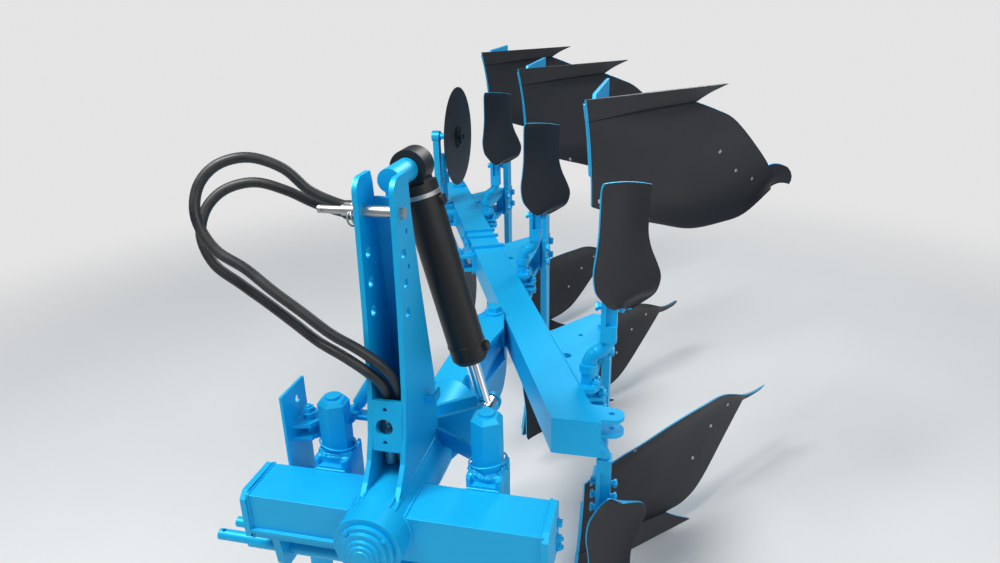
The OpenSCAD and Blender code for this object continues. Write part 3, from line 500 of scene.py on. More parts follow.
SEAM_END = on_board((0.508, 0.515, 0.106))
TAIL = Vector((*BOARD_REACH, TAIL_H))
WING = Vector((*SHARE_REACH, 0))
SEAM = [shin(SEAM_W), shin(SEAM_W).lerp(SEAM_END, 0.5) + Vector((-6, 8, 0)), SEAM_END]
RISE = Vector((0, 0, SEAM_RISE))
BOARD_EDGES = (
    [p + RISE for p in SEAM],
    [shin(1), *(on_board(entry) for entry in TOP_TABLE), TAIL],
    [shin(SEAM_W + (1 - SEAM_W) * k / 4) + RISE * (1 - k / 4) for k in range(5)],
    [SEAM[2] + RISE, *(on_board(entry) for entry in REAR_TABLE), TAIL])
SHARE_EDGES = (
    [Vector((0, 0, 0)), WING / 2, WING], SEAM, [shin(SEAM_W * k / 2) for k in range(3)],
    [WING, WING.lerp(SEAM_END, 0.5) + Vector((-8, -4, 0)), SEAM_END])


def patch(edges, s, w):
    """The face between four edges: bottom, top, left and right."""
    bottom, top, left, right = edges
    return (along(bottom, s).lerp(along(top, s), w) + along(left, w).lerp(along(right, w), s)
            - bottom[0].lerp(bottom[-1], s).lerp(top[0].lerp(top[-1], s), w))


# The solids' columns and rows, which the strap's height follows, and the finer grids of the faces here
BOARD_COLUMNS, BOARD_ROWS = 16, 9
BOARD_GRID, STRAP_GRID, SHARE_GRID, SKIM_GRID = (44, 26), (8, 4), (36, 8), (20, 36)
# The strap: how far it laps the board, where it turns, how it narrows, and how its end is rounded
STRAP_LAP, STRAP_TURN = 14.0, Vector((0.74, 0.66, 0.1))
STRAP_LOW, STRAP_SPREAD, STRAP_ROUND = 0.12, 0.68, 14
# The skimmer blade: slope to the rear, curl of its inner end, belly, and sweep of its cutting edge
SKIM_SLOPE, SKIM_CURL, SKIM_BELLY, SKIM_SWEEP = 0.72, 40, 26, 34


def tail_strap(s, w):
    """The strap behind the tail's end edge: it laps the board's back, then turns outwards and narrows."""
    rise = w + (STRAP_LOW + STRAP_SPREAD * w - w) * s
    height = (BOARD_ROWS - 2 + 2 * rise) / BOARD_ROWS
    edge = patch(BOARD_EDGES, 1, height)
    out = (edge - patch(BOARD_EDGES, 1 - 1 / BOARD_COLUMNS, height)).normalized()
    reach = -STRAP_LAP + (STRAP_LEN - STRAP_ROUND * (2 * w - 1) ** 2 + STRAP_LAP) * s
    return edge + reach * out.lerp(STRAP_TURN, s).normalized() + (BOARD_T - 1) * FACE_BACK


def skimmer_face(s, w, side):
    """A skimmer blade's front in its body's place, above (1) or below (-1) the turnover axis."""
    left_x, left_z, right_x, right_z = along([Vector(entry) for entry in SKIM_TABLE], w)
    x = (left_x + (right_x - left_x) * s) * SKIM_HALF_W
    curl = (1 - w) ** 3
    y = (SKIM_SLOPE * x - SKIM_CURL * curl * max(0, s - 0.2)
         + SKIM_BELLY * (1 - (2 * s - 1) ** 2) * (0.3 + 0.7 * w) - SKIM_SWEEP * w * w)
    z = SKIM_INNER_Z + (SKIM_OUTER_Z - SKIM_INNER_Z) * (left_z + (right_z - left_z) * s)
    return Vector((SKIM_MID[0] + x, SKIM_MID[1] + y, side * z))


FRONT_SLOT, BACK_SLOT = 0, 1
SHARP = math.radians(50)


def formed_plate(bm, face, columns, rows, back, rim, sole=None, seam=None):
    """A formed plate: a grid laid on the face's rule, drawn to its back, its rim rounded as paint rounds it.

    face gives a point in the row frame, back is the step to the plate's back, sole a level to cut it at, and
    seam the row, 0 or 1, whose edge meets a neighbour and stays black.
    """
    plate = bmesh.new()
    bmesh.ops.create_grid(plate, x_segments=columns, y_segments=rows, size=0.5)
    joint = [e for e in plate.edges
             if seam is not None and all(abs(v.co.y + 0.5 - seam) < NEARLY for v in e.verts)]
    for v in plate.verts:
        v.co = face(v.co.x + 0.5, v.co.y + 0.5)
    fronts = list(plate.faces)
    drawn = bmesh.ops.extrude_face_region(plate, geom=fronts)
    for f in plate.faces:
        f.material_index = BACK_SLOT
    for f in (*fronts, *(f for e in joint for f in e.link_faces)):
        f.material_index = FRONT_SLOT
    behind = [v for v in drawn["geom"] if isinstance(v, bmesh.types.BMVert)]
    bmesh.ops.translate(plate, verts=behind, vec=back)
    bmesh.ops.recalc_face_normals(plate, faces=plate.faces)
    if sole is not None:
        level, up = sole
        cut = bmesh.ops.bisect_plane(plate, geom=[*plate.verts, *plate.edges, *plate.faces], dist=TOUCHING,
                                     plane_co=(0, 0, level), plane_no=(0, 0, -up), clear_outer=True)
        opened = [e for e in cut["geom_cut"] if isinstance(e, bmesh.types.BMEdge)]
        bmesh.ops.holes_fill(plate, edges=opened)
        bmesh.ops.recalc_face_normals(plate, faces=plate.faces)
    sharp = [e for e in plate.edges if len(e.link_faces) == 2 and e.calc_face_angle() > SHARP]
    bevel(plate, sharp, rim, clamp=True)
    merge_in(bm, plate)


# ---- Camera, hoses and finishes of the solids

# The hoses' routes, with the same points as the solids
HOSE_FRONT = [row(*p) for p in (
    (-72.3, 97, 72), (-107, 96.3, 73.2), (-146, 91, 83), (-201, 73, 115), (-247, 53, 168), (-309, 22, 198),
    (-367, -14, 188), (-401, -47, 145), (-401, -71, 80), (-361, -80, 15), (-295, -77, -28),
    (-232, -81, -75), (-168, -81, -121), (-107, -79, -168), (-46, -68, -209), (1, -52, -258),
    (19, -30, -315), (17.2, -19.4, -378), (17, -18, -440))]
HOSE_REAR = [row(*p) for p in (
    (-72.3, 121, 47), (-107, 120.5, 47.8), (-148, 117, 54), (-206, 102, 76), (-266, 87, 108), (-332, 67, 130),
    (-391, 35, 119), (-425, 1, 81), (-428, -29, 25), (-393, -47, -34), (-332, -50, -76),
    (-268, -55, -116), (-205, -62, -156), (-145, -68, -196), (-85, -76, -222), (-39, -68, -258),
    (-13, -48, -299), (-9, -29, -344), (-15.2, -21, -390), (-16, -20, -440))]


# The camera's place and clipping in metres, and its sensor's width in millimetres
CAMERA_AT, CLIP, SENSOR = (0.6074, -1.4099, 0.5235), (0.05, 60), 36


class PLOUGH_OT_camera(bpy.types.Operator):
    """Sets the camera at the photograph's viewing angle"""
    bl_idname = "plough.camera"
    bl_label = "Camera"

    def execute(self, context):
        s = context.scene.plough_stage
        sin, cos = math.sin, math.cos
        ahead = Vector((sin(s.yaw) * cos(s.pitch), cos(s.yaw) * cos(s.pitch), -sin(s.pitch)))
        right = Vector((cos(s.yaw), -sin(s.yaw), 0))
        up = right.cross(ahead)
        right, up = (cos(s.roll) * right + sin(s.roll) * up, -sin(s.roll) * right + cos(s.roll) * up)
        data = bpy.data.cameras.new("camera")
        data.sensor_width, data.lens = SENSOR, s.lens
        data.clip_start, data.clip_end = CLIP
        camera = bpy.data.objects.new("camera", data)
        camera.matrix_world = Matrix.Translation(CAMERA_AT) @ axes(right, up, -ahead)
        context.scene.collection.objects.link(camera)
        context.scene.camera = camera
        return {"FINISHED"}


class PLOUGH_OT_hoses(bpy.types.Operator):
    """Lays the long hydraulic hoses"""
    bl_idname = "plough.hoses"
    bl_label = "Hoses"

    def execute(self, context):
        s = context.scene.plough_hoses
        rubber = hose_rubber("hose_rubber")
        for name, route in (("hose_front", HOSE_FRONT), ("hose_rear", HOSE_REAR)):
            path = smooth_route(route, s.steps)
            tube = sweep(bmesh.new(), path, s.diameter / 2, s.sides)
            hose = piece(name + "_skin", tube, rubber, "headstock", 50)
            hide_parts(name)
        return {"FINISHED"}


# Dressing the solids: the gap at which corners are joined and the paint's rounding, in metres, and the angles
# that count as flat and as an edge
WELD_GAP, PAINT_EDGE = 0.00002, 0.0016
FLAT_ANGLE, EDGE_ANGLE = math.radians(0.6), math.radians(38)


class PLOUGH_OT_paint(bpy.types.Operator):
    """Gives each solid its finish and softens its edges as thick paint does"""
    bl_idname = "plough.paint"
    bl_label = "Paint"

    def execute(self, context):
        for part in frame["record"]["subparts"]:
            solid = NODES[part["node"]]
            solid.data.materials.clear()
            solid.data.materials.append(finish(part["material_slot"]))
            joined = solid.modifiers.new("join", "WELD")
            joined.merge_threshold = WELD_GAP
            flat = solid.modifiers.new("flatten", "DECIMATE")
            flat.decimate_type = "DISSOLVE"
            flat.angle_limit = FLAT_ANGLE
            edge = solid.modifiers.new("edges", "BEVEL")
            edge.width, edge.segments = PAINT_EDGE, 2
            edge.limit_method, edge.angle_limit = "ANGLE", EDGE_ANGLE
            edge.harden_normals = False
            smooth = solid.modifiers.new("smooth", "WEIGHTED_NORMAL")
            smooth.keep_sharp = True
        return {"FINISHED"}


def dress_faces(name, node, bm, front, back):
    """Makes an object of the plough frame with a front and a back finish, in place of a node."""
    made = piece(name, bm, front, "plough_frame", 40)
    made.data.materials.append(back)
    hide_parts(node)


class PLOUGH_OT_bodies(bpy.types.Operator):
    """Lays smooth mouldboards and shares with blue backs over the formed solids"""
    bl_idname = "plough.bodies"
    bl_label = "Mouldboards and shares"

    def execute(self, context):
        black, blue = finish("black_paint"), finish("blue_paint")
        for i in range(BODY_COUNT):
            for upper in (True, False):
                up = -1 if upper else 1
                back = FACE_BACK * Vector((1, 1, up)) / 1000
                level = -up * SOLE_DROP - HOLE_Z
                label = f"{'upper' if upper else 'lower'}_{i + 1}"
                board = bmesh.new()
                formed_plate(board, lambda s, w: body_point(i, patch(BOARD_EDGES, s, w), upper), *BOARD_GRID,
                             back * BOARD_T, BOARD_RIM, seam=0)
                formed_plate(board, lambda s, w: body_point(i, tail_strap(s, w), upper), *STRAP_GRID,
                             back * BOARD_T, BOARD_RIM)
                dress_faces(f"mouldboard_{label}_face", f"mouldboard_{label}", board, black, blue)
                share = bmesh.new()
                formed_plate(share, lambda s, w: body_point(i, patch(SHARE_EDGES, s, w), upper), *SHARE_GRID,
                             back * SHARE_T, SHARE_RIM, (level / 1000, up), 1)
                dress_faces(f"share_{label}_face", f"share_{label}", share, black, blue)
        return {"FINISHED"}


class PLOUGH_OT_skimmers(bpy.types.Operator):
    """Lays smooth skimmer blades with blue backs over the solids"""
    bl_idname = "plough.skimmers"
    bl_label = "Skimmer blades"

    def execute(self, context):
        black, blue = finish("black_paint"), finish("blue_paint")
        for i in range(BODY_COUNT):
            blades = bmesh.new()
            for side in SIDES:
                formed_plate(blades, lambda s, w: hub(*at_body(i, *skimmer_face(s, w, side))), *SKIM_GRID,
                             SKIM_BACK * SKIM_T / 1000, SKIM_RIM)
            dress_faces(f"skimmer_faces_{i + 1}", f"skimmer_blades_{i + 1}", blades, black, blue)
        return {"FINISHED"}


# ---- Turned parts, fasteners, welds and rings. Sizes are in millimetres, places from the turnover axis.

# Where the beam's own place starts, and how far its right side stands from there
BEAM_X, BEAM_Y, BEAM_RIGHT = 324.0, 383.0, 127
AXIS_X, AXIS_Y, AXIS_Z = (1, 0, 0), (0, 1, 0), (0, 0, 1)


def on_beam(across, along_it, z):
    """A point of the beam's own place, from the turnover axis."""
    turn = BEAM_ANGLE
    return (BEAM_X + across * math.cos(turn) - along_it * math.sin(turn),
            BEAM_Y + across * math.sin(turn) + along_it * math.cos(turn), z)


def lathe(bm, profile, at, way, sides, closed=False):
    """A turned part: an outline of (radius, height) spun about its axis, closed round a bore where asked."""
    turned = bmesh.new()
    verts = [turned.verts.new((r / 1000, 0, h / 1000)) for r, h in profile]
    edges = [turned.edges.new(pair) for pair in zip(verts, verts[1:])]
    if closed:
        edges.append(turned.edges.new((verts[-1], verts[0])))
    bmesh.ops.spin(turned, geom=verts + edges, cent=(0, 0, 0), axis=AXIS_Z, angle=TURNS, steps=sides,
                   use_merge=True)
    bmesh.ops.remove_doubles(turned, verts=turned.verts, dist=TOUCHING)
    bmesh.ops.recalc_face_normals(turned, faces=turned.faces)
    turned.transform(place(hub(*at), way))
    merge_in(bm, turned)


# A washer's thickness and chamfer, and how far up from its foot a head sits
WASHER_T, WASHER_CHAMFER, WASHER_LIFT = 3.0, 0.6, 2.8
# A head's chamfer and a thread's radius as shares of the width over flats, and the thread's chamfer
HEAD_CHAMFER, THREAD_R, THREAD_CHAMFER = 0.07, 0.3, 1.2


def washer(bm, at, way, outer):
    """A washer with chamfered edges."""
    c, thick = WASHER_CHAMFER, WASHER_T
    lathe(bm, ((0, 0), (outer - c, 0), (outer, c), (outer, thick - c), (outer - c, thick), (0, thick)),
          at, way, 32)


def hex_head(bm, at, way, across, height, disc=0.0, stub=0.0, turn=0.0):
    """A hexagon head or nut. disc is its washer's radius, stub the length of thread that shows."""
    way = Vector(way).normalized()
    lift = 0.0
    if disc:
        washer(bm, at, way, disc)
        lift = WASHER_LIFT
    head = bmesh.new()
    radius = across / 2 / math.cos(math.radians(30)) / 1000
    middle = Matrix.Translation((0, 0, (lift + height / 2) / 1000)) @ Matrix.Rotation(turn, 4, "Z")
    bmesh.ops.create_cone(head, cap_ends=True, segments=6, radius1=radius, radius2=radius,
                          depth=height / 1000, matrix=middle)
    crown = [e for e in head.edges if all(v.co.z > (lift + height * 0.9) / 1000 for v in e.verts)]
    bevel(head, crown, HEAD_CHAMFER * across / 1000)
    head.transform(place(hub(*at), way))
    merge_in(bm, head)
    if stub:
        r, top, c = across * THREAD_R, lift + height, THREAD_CHAMFER
        lathe(bm, ((0, top - 1), (r, top - 1), (r, top + stub - c), (r - c, top + stub), (0, top + stub)),
              at, way, 20)


def bar(bm, start, end, wide, thick):
    """A flat bar with rounded edges between two points, wide level and thick across."""
    start, end = hub(*start), hub(*end)
    run = end - start
    flat = block((wide / 1000, thick / 1000, run.length), BAR_RIM)
    flat.transform(place((start + end) / 2, run))
    merge_in(bm, flat)


def evenly(points, gap):
    """Points at an even gap along straight runs, in metres."""
    made = []
    for a, b in zip(points, points[1:]):
        count = max(1, round((b - a).length / gap))
        made += [a.lerp(b, k / count) for k in range(count)]
    return made + [points[-1]]


# A bar's rounding and a weld's step in metres; a ripple's share of the bead, its pace, and the ends' fade
BAR_RIM, WELD_STEP = 0.0015, 0.0022
RIPPLE, RIPPLE_PACE, FADE, FADE_PACE = 0.13, 2.1, 0.25, 12
BEAD_SIDES, WIRE_SIDES = 8, 10


def weld(bm, points, radius, wander=0.5, closed=False):
    """A weld bead along a run of points: its ripples follow the welder's steps."""
    run = [hub(*p) for p in points]
    if closed:
        run.append(run[0])
    path = evenly(run, WELD_STEP)
    count = len(path) - 1
    shaped = []
    for k, at in enumerate(path):
        sway = wander * (math.sin(k * 0.37) + math.sin(k * 0.91 + 1.3)) / 2000
        shaped.append(at + Vector((sway, sway * 0.6, -sway * 0.8)))

    def swell(t):
        fade = 1 - FADE + FADE * min(1, FADE_PACE * t, FADE_PACE * (1 - t))
        return radius / 1000 * (1 + RIPPLE * math.sin(t * count * RIPPLE_PACE)) * fade

    merge_in(bm, sweep(bmesh.new(), shaped, swell, BEAD_SIDES))


def ring_of(centre, radius, normal, steps, oval=1.0):
    """Points of a ring round a centre."""
    turn = frame_of(normal)
    return [tuple(Vector(centre) + turn @ Vector((radius * math.cos(TURNS * k / steps),
                                                 oval * radius * math.sin(TURNS * k / steps), 0)))
            for k in range(steps)]


def wire(bm, points, radius):
    """A bent wire that meets itself."""
    run = [hub(*p) for p in points]
    merge_in(bm, sweep(bmesh.new(), [*run, run[0]], radius / 1000, WIRE_SIDES))


# Places on a mouldboard, across and up, that have a flush bolt, and the bolt's outline
FACE_BOLTS = ((0.048, 0.892), (0.798, 0.516), (0.826, 0.664), (0.883, 0.768), (0.279, 0.955))
FLUSH_BOLT = ((0, 0.3), (2.6, 0.4), (3.0, 1.1), (6.4, 0.9), (7.4, -0.4), (7.4, -1.5), (0, -1.5))
# How far to each side of a bolt the face's slope is taken
ASIDE = 0.01


class PLOUGH_OT_face_bolts(bpy.types.Operator):
    """Sets the flush bolts in the mouldboards"""
    bl_idname = "plough.face_bolts"
    bl_label = "Mouldboard bolts"

    def execute(self, context):
        bolts = bmesh.new()
        out = -FACE_BACK.normalized()
        for i in range(BODY_COUNT):
            for upper in (True, False):
                for s, w in FACE_BOLTS:
                    a = patch(BOARD_EDGES, min(1, s + ASIDE), w) - patch(BOARD_EDGES, s - ASIDE, w)
                    b = patch(BOARD_EDGES, s, min(1, w + ASIDE)) - patch(BOARD_EDGES, s, w - ASIDE)
                    normal = a.cross(b).normalized()
                    if normal.dot(out) < 0:
                        normal = -normal
                    if upper:
                        normal = Vector((normal.x, normal.y, -normal.z))
                    at = at_body(i, *from_sole(patch(BOARD_EDGES, s, w), upper))
                    lathe(bolts, FLUSH_BOLT, at, normal, 24)
        piece("mouldboard_bolts", bolts, finish("bare_steel"), "plough_frame", 35)
        return {"FINISHED"}


# Headstock bolts: place, direction, width over flats, height, washer radius, thread that shows
HEADSTOCK_BOLTS = (
    ((-155, 128, 146), AXIS_Z, 30, 12, 24, 6),
    ((-255, 128, 160), AXIS_Z, 26, 12, 20, 5),
    ((397.6, 34, -46), AXIS_X, 18, 8, 13, 5),
    ((397.6, 34, -70), AXIS_X, 18, 8, 13, 5),
    ((397.6, 44, -10), AXIS_X, 18, 8, 13, 0),
    ((-283, 82, -108), (0, -1, 0), 24, 10, 17, 0),
    ((-283, 178, -108), AXIS_Y, 24, 12, 17, 6),
)
CAP_BOLT_ANGLES, CAP_BOLT_R, CAP_FACE_Y = (40, 130, 220, 310), 62, -151.8
# Bolts of a body, in its place: the leg's on its console, the stalk's plates', the stalk's own and the frog's
LEG_BOLTS = [(y, z) for y in (225, 325) for z in (-34, 34)]
PLATE_BOLT_Y, STALK_BOLT_Z = (-178, -150), (300, 350, 400)
FROG_BOLTS = ((252, 560), (298, 560), (252, 610), (298, 610))
# Bolts in the beam's place, along it: the stay rod's and the clamps'
STAY_ACROSS, STAY_BOLT_Y, CLAMP_BOLT_Y = -72, (1450, 2170), (1470, 1620, 1715)


class PLOUGH_OT_fasteners(bpy.types.Operator):
    """Sets bolts and nuts on headstock, consoles, legs, stay and beam"""
    bl_idname = "plough.fasteners"
    bl_label = "Bolts and nuts"

    def execute(self, context):
        blue = finish("blue_paint")
        fixed = bmesh.new()
        for bolt in HEADSTOCK_BOLTS:
            hex_head(fixed, *bolt)
        for angle in CAP_BOLT_ANGLES:
            turn = math.radians(angle)
            at = (CAP_BOLT_R * math.cos(turn), CAP_FACE_Y, CAP_BOLT_R * math.sin(turn))
            hex_head(fixed, at, (0, -1, 0), 10, 5)
        piece("headstock_bolts", fixed, blue, "headstock", 35)

        moving = bmesh.new()
        for i in range(BODY_COUNT):
            for y, z in LEG_BOLTS:
                hex_head(moving, at_body(i, 74, y, z), AXIS_X, 30, 13, 20, 0, 0.3 * y)
                hex_head(moving, at_body(i, 46, y, z + (30 if z > 0 else -30)), (-1, 0, 0), 20, 9, 14, 4)
            for side in SIDES:
                way = (0, 0, side)
                hex_head(moving, at_body(i, 84, -164, side * 18.2), way, 26, 13, 17, 9 if side > 0 else 0)
                for y in PLATE_BOLT_Y:
                    hex_head(moving, at_body(i, 66, y, side * 56.2), way, 22, 10, 15, 5)
                for z in STALK_BOLT_Z:
                    hex_head(moving, at_body(i, 131, -157, side * z), AXIS_X, 24, 9, 0, 3, 0.4)
                    hex_head(moving, at_body(i, 67, -157, side * z), (-1, 0, 0), 24, 9, 0, 0, 0.7)
                for y, z in FROG_BOLTS:
                    hex_head(moving, at_body(i, 74, y, side * z), AXIS_X, 24, 11, 16, 6)
        for y in STAY_BOLT_Y:
            for side in SIDES:
                at = on_beam(STAY_ACROSS, y, side * 53)
                hex_head(moving, at, (0, 0, side), 30, 8, 0, 7 if side > 0 else 0)
        left = (-math.cos(BEAM_ANGLE), -math.sin(BEAM_ANGLE), 0)
        for y in CLAMP_BOLT_Y:
            for side in SIDES:
                hex_head(moving, on_beam(-12, y, side * 34), left, 20, 9, 14, 6)
        hex_head(moving, on_beam(85, 2640, 90), AXIS_Z, 26, 8, 0, 8)
        piece("frame_bolts", moving, blue, "plough_frame", 35)
        return {"FINISHED"}


# The tilt screws: place across, and the lean of the wire ring on top; then their place to the rear
TILT_SCREWS, SCREW_Y = ((-176, 0.16), (216, -0.13)), 112


def console_edge(y):
    """Where the beam's right side stands in the first body's place, y behind its point."""
    slope = math.tan(BEAM_ANGLE)
    return BEAM_X - (TIP_Y + y - BEAM_Y) * slope + BEAM_RIGHT / math.cos(BEAM_ANGLE) - TIP_X


class PLOUGH_OT_welds(bpy.types.Operator):
    """Lays the weld beads of headstock, mast, arm and consoles"""
    bl_idname = "plough.welds"
    bl_label = "Welds"

    def execute(self, context):
        blue = finish("blue_paint")
        fixed = bmesh.new()
        arc = [math.radians(a) for a in range(33, -78, -6)]
        for side in SIDES:
            weld(fixed, [(side * 80 * math.cos(a), -76, 80 * math.sin(a)) for a in arc], 4.2)
            weld(fixed, [(side * 67, -76, 45), (side * 67, 54, 45)], 4.0)
            for x, z in ((47.5, 64.4), (35.5, 71.7)):
                weld(fixed, [(side * x, -80, z), (side * x, -40, z + 2), (side * x, 240, z + 1)], 3.6)
            weld(fixed, [(side * 47.5, -70, 44.6), (side * 47.5, 54, 44.6)], 3.4)
        for x in (-328.5, 382.5):
            weld(fixed, [(x, -76, -78), (x, -76, 44), (x, 54, 44), (x, 54, -78)], 4.4, closed=True)
        for x, _ in TILT_SCREWS:
            for side in SIDES:
                weld(fixed, [(x + side * 43.5, 54.6, -54), (x + side * 43.5, 54.6, 42)], 4.2)
            weld(fixed, [(x - 40, 55, 45), (x + 40, 55, 45)], 4.2)
        for x in (-289, -281):
            weld(fixed, [(x, 54.5, -36), (x, 54.5, 42)], 3.4)
        for x in (-9, 9):
            weld(fixed, [(x, 154.5, 744), (x, 172, 604)], 3.2)
        for x in (-35.5, 35.5):
            weld(fixed, [(x, 35, 272), (x, 13, 153)], 2.6)
        piece("headstock_welds", fixed, blue, "headstock", 60)
        moving = bmesh.new()
        for i in range(BODY_COUNT):
            for side in SIDES:
                z = side * 55.6
                weld(moving, [at_body(i, console_edge(y), y, z) for y in (-212, 158)], 3.6)
                weld(moving, [at_body(i, 45.7, y, z) for y in (66, 330)], 3.2)
        for side in SIDES:
            weld(moving, [(-57, 800, side * 70), (-57, 926, side * 70), (-26, 1008, side * 70)], 3.4)
            weld(moving, [(33, 560, side * 61), (33, 800, side * 61)], 3.2)
        weld(moving, ring_of((0, 502, 0), 58, AXIS_Y, 30), 4.0, closed=True)
        piece("frame_welds", moving, blue, "plough_frame", 60)
        return {"FINISHED"}


# The linch pin's outline. A tilt screw's boot: size and rounding in metres, height of its middle. Its two
# painted-over collars: height, thickness and sway; their radius and the points round them.
LINCH_PIN = ((0, 0), (4.4, 0), (4.4, 58), (3.2, 61), (0, 61))
BOOT_SIZE, BOOT_RIM, BOOT_Z = (0.092, 0.088, 0.07), 0.011, 40
COLLARS, COLLAR_R, COLLAR_STEPS = ((70, 5.6, 3.4), (76, 3.4, 5.2)), 43, 40


class PLOUGH_OT_rings(bpy.types.Operator):
    """Hangs the linch pin of the top link, and the tilt screws' boots, collars and wire rings"""
    bl_idname = "plough.rings"
    bl_label = "Rings and collars"

    def execute(self, context):
        rings = bmesh.new()
        wire(rings, ring_of((-62, 91, 694), 21, (0.92, 0.2, 0.25), 40, 0.8), 2.4)
        wire(rings, ring_of((-62, 87, 692), 16, (0.8, -0.45, 0.1), 40, 1.1), 2.4)
        lathe(rings, LINCH_PIN, (-58, 90, 678), AXIS_Z, 16)
        piece("top_link_linch_pin", rings, finish("bare_steel"), "headstock", 40)
        collars = bmesh.new()
        turns = [TURNS * k / COLLAR_STEPS for k in range(COLLAR_STEPS)]
        for x, tilt in TILT_SCREWS:
            boot = block(BOOT_SIZE, BOOT_RIM, 4)
            bmesh.ops.translate(boot, verts=boot.verts, vec=hub(x, SCREW_Y, BOOT_Z))
            merge_in(collars, boot)
            for level, swell, sway in COLLARS:
                weld(collars, [(x + COLLAR_R * math.cos(a), SCREW_Y + COLLAR_R * math.sin(a),
                                level + sway * math.sin(3 * a + x)) for a in turns], swell, 3.2, closed=True)
            wire(collars, ring_of((x, SCREW_Y, 92), 47, (tilt, 0.12, 1), 44, 0.95), 2.3)
        piece("tilt_screw_collars", collars, finish("blue_paint"), "headstock", 60)
        return {"FINISHED"}


# The cylinder's eye, and the crank's reach and angle at rest, which give the cylinder's tilt
CYLINDER_EYE = Vector((0, 302, 760))
CRANK_REACH, CRANK_ANGLE = 200, math.radians(34.6)
# Outlines of head band, gland, port and bead, with their places along the barrel from its eye
HEAD_BAND, HEAD_BAND_AT = ((47.6, 0), (50, 1), (50, 11), (47.6, 12)), 64
GLAND, GLAND_AT = ((18.1, 0), (23, 0), (25, 2), (25, 7), (22, 9), (18.1, 9)), 518
PORT, PORTS_AT, PORT_SIDE = ((0, 0), (15, 0), (15, 9), (13, 11), (0, 11)), (92, 486), 46
BEAD, BEAD_AT = ((48, -3), (49.4, -2), (49.4, 2), (48, 3)), 470


class PLOUGH_OT_cylinder_trim(bpy.types.Operator):
    """Adds the cylinder's head band, gland, ports and bead"""
    bl_idname = "plough.cylinder_trim"
    bl_label = "Cylinder trim"

    def execute(self, context):
        tilt = math.atan2(CRANK_REACH * math.cos(CRANK_ANGLE),
                          CYLINDER_EYE.z - CRANK_REACH * math.sin(CRANK_ANGLE))
        down = Vector((math.sin(tilt), 0, -math.cos(tilt)))
        aside = Vector((math.cos(tilt), 0, math.sin(tilt)))
        band = bmesh.new()
        lathe(band, HEAD_BAND, CYLINDER_EYE + down * HEAD_BAND_AT, down, 56, closed=True)
        lathe(band, GLAND, CYLINDER_EYE + down * GLAND_AT, down, 40, closed=True)
        piece("cylinder_bands", band, finish("bare_steel"), "cylinder", 35)
        boss = bmesh.new()
        for reach in PORTS_AT:
            lathe(boss, PORT, CYLINDER_EYE + down * reach + aside * PORT_SIDE, aside, 28)
        lathe(boss, BEAD, CYLINDER_EYE + down * BEAD_AT, down, 56, closed=True)
        piece("cylinder_bosses", boss, finish("cylinder_black"), "cylinder", 35)
        return {"FINISHED"}


# Outlines of a hose's crimp and of the rubber relief behind it
CRIMP = ((12.1, 10), (14.6, 10), (14.6, 13), (14.0, 14), (14.6, 15), (14.6, 33), (14.0, 34), (14.0, 36),
         (12.1, 37))
RELIEF = ((12.05, 36), (15.2, 36), (15.0, 44), (13.2, 66), (12.05, 70))


class PLOUGH_OT_hose_ends(bpy.types.Operator):
    """Crimps the hoses' ends and screws them into manifold and couplings"""
    bl_idname = "plough.hose_ends"
    bl_label = "Hose ends"

    def execute(self, context):
        ends = bmesh.new()
        reliefs = bmesh.new()
        for route in (HOSE_FRONT, HOSE_REAR):
            for end, after in ((route[0], route[1]), (route[-1], route[-2])):
                way = (after - end).normalized()
                at = end * 1000 + Vector((0, PIN_Y, HOLE_Z))
                hex_head(ends, at, way, 30, 11, 0, 0, 0.2)
                lathe(ends, CRIMP, at, way, 32, closed=True)
                lathe(reliefs, RELIEF, at, way, 32, closed=True)
        piece("hose_crimps", ends, finish("bare_steel"), "headstock", 35)
        piece("hose_reliefs", reliefs, finish("hose_rubber"), "headstock", 35)
        return {"FINISHED"}


# The discs' outline, the upper one's centre, and the bolts of a flange
DISC_PROFILE = (
    (15.1, -60), (34, -60), (38, -57), (38, -12), (40, -10), (60, -9), (62, -7.5), (62, -2.7), (228, -2.5),
    (250, -0.5), (250, 0.5), (228, 2.5), (62, 2.7), (62, 7.5), (60, 9), (40, 10), (38, 12), (38, 23),
    (34, 26), (15.1, 26))
DISC_X, DISC_Y, DISC_Z = -500, 2350, 448
FLANGE_BOLTS, FLANGE_R, FLANGE_FACE = 5, 50, 9


class PLOUGH_OT_discs(bpy.types.Operator):
    """Turns the disc coulters with their sharpened rim and flange bolts"""
    bl_idname = "plough.discs"
    bl_label = "Disc coulters"

    def execute(self, context):
        for name, z in (("upper", DISC_Z), ("lower", -DISC_Z)):
            disc = bmesh.new()
            lathe(disc, DISC_PROFILE, (DISC_X, DISC_Y, z), AXIS_X, 96, closed=True)
            for k in range(FLANGE_BOLTS):
                a = TURNS * (k + 0.3) / FLANGE_BOLTS
                y, rise = DISC_Y + FLANGE_R * math.cos(a), z + FLANGE_R * math.sin(a)
                for side in SIDES:
                    hex_head(disc, (DISC_X + side * FLANGE_FACE, y, rise), (side, 0, 0), 13, 6)
            made = piece(f"disc_{name}_turned", disc, finish("black_paint"), f"coulter_{name}", 30)
            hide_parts(f"disc_{name}")
        return {"FINISHED"}


# Struts behind the cross beam: two bars from end to end, with width and thickness, and the turnbuckle strut
BARS = (((-244, 172, 138), (-47.8, 172, 138), 34, 12), ((48, 236, 62), (190, 158, 62), 12, 44))
STRUT_FOOT, STRUT_TOP = Vector((-155, 172, 144)), Vector((-49, 172, 309))
STRUT_SEAT, SEAT_AT = ((0, 0), (22, 0), (24, 2), (24, 16), (22, 18), (0, 18)), (-155, 172, 136)


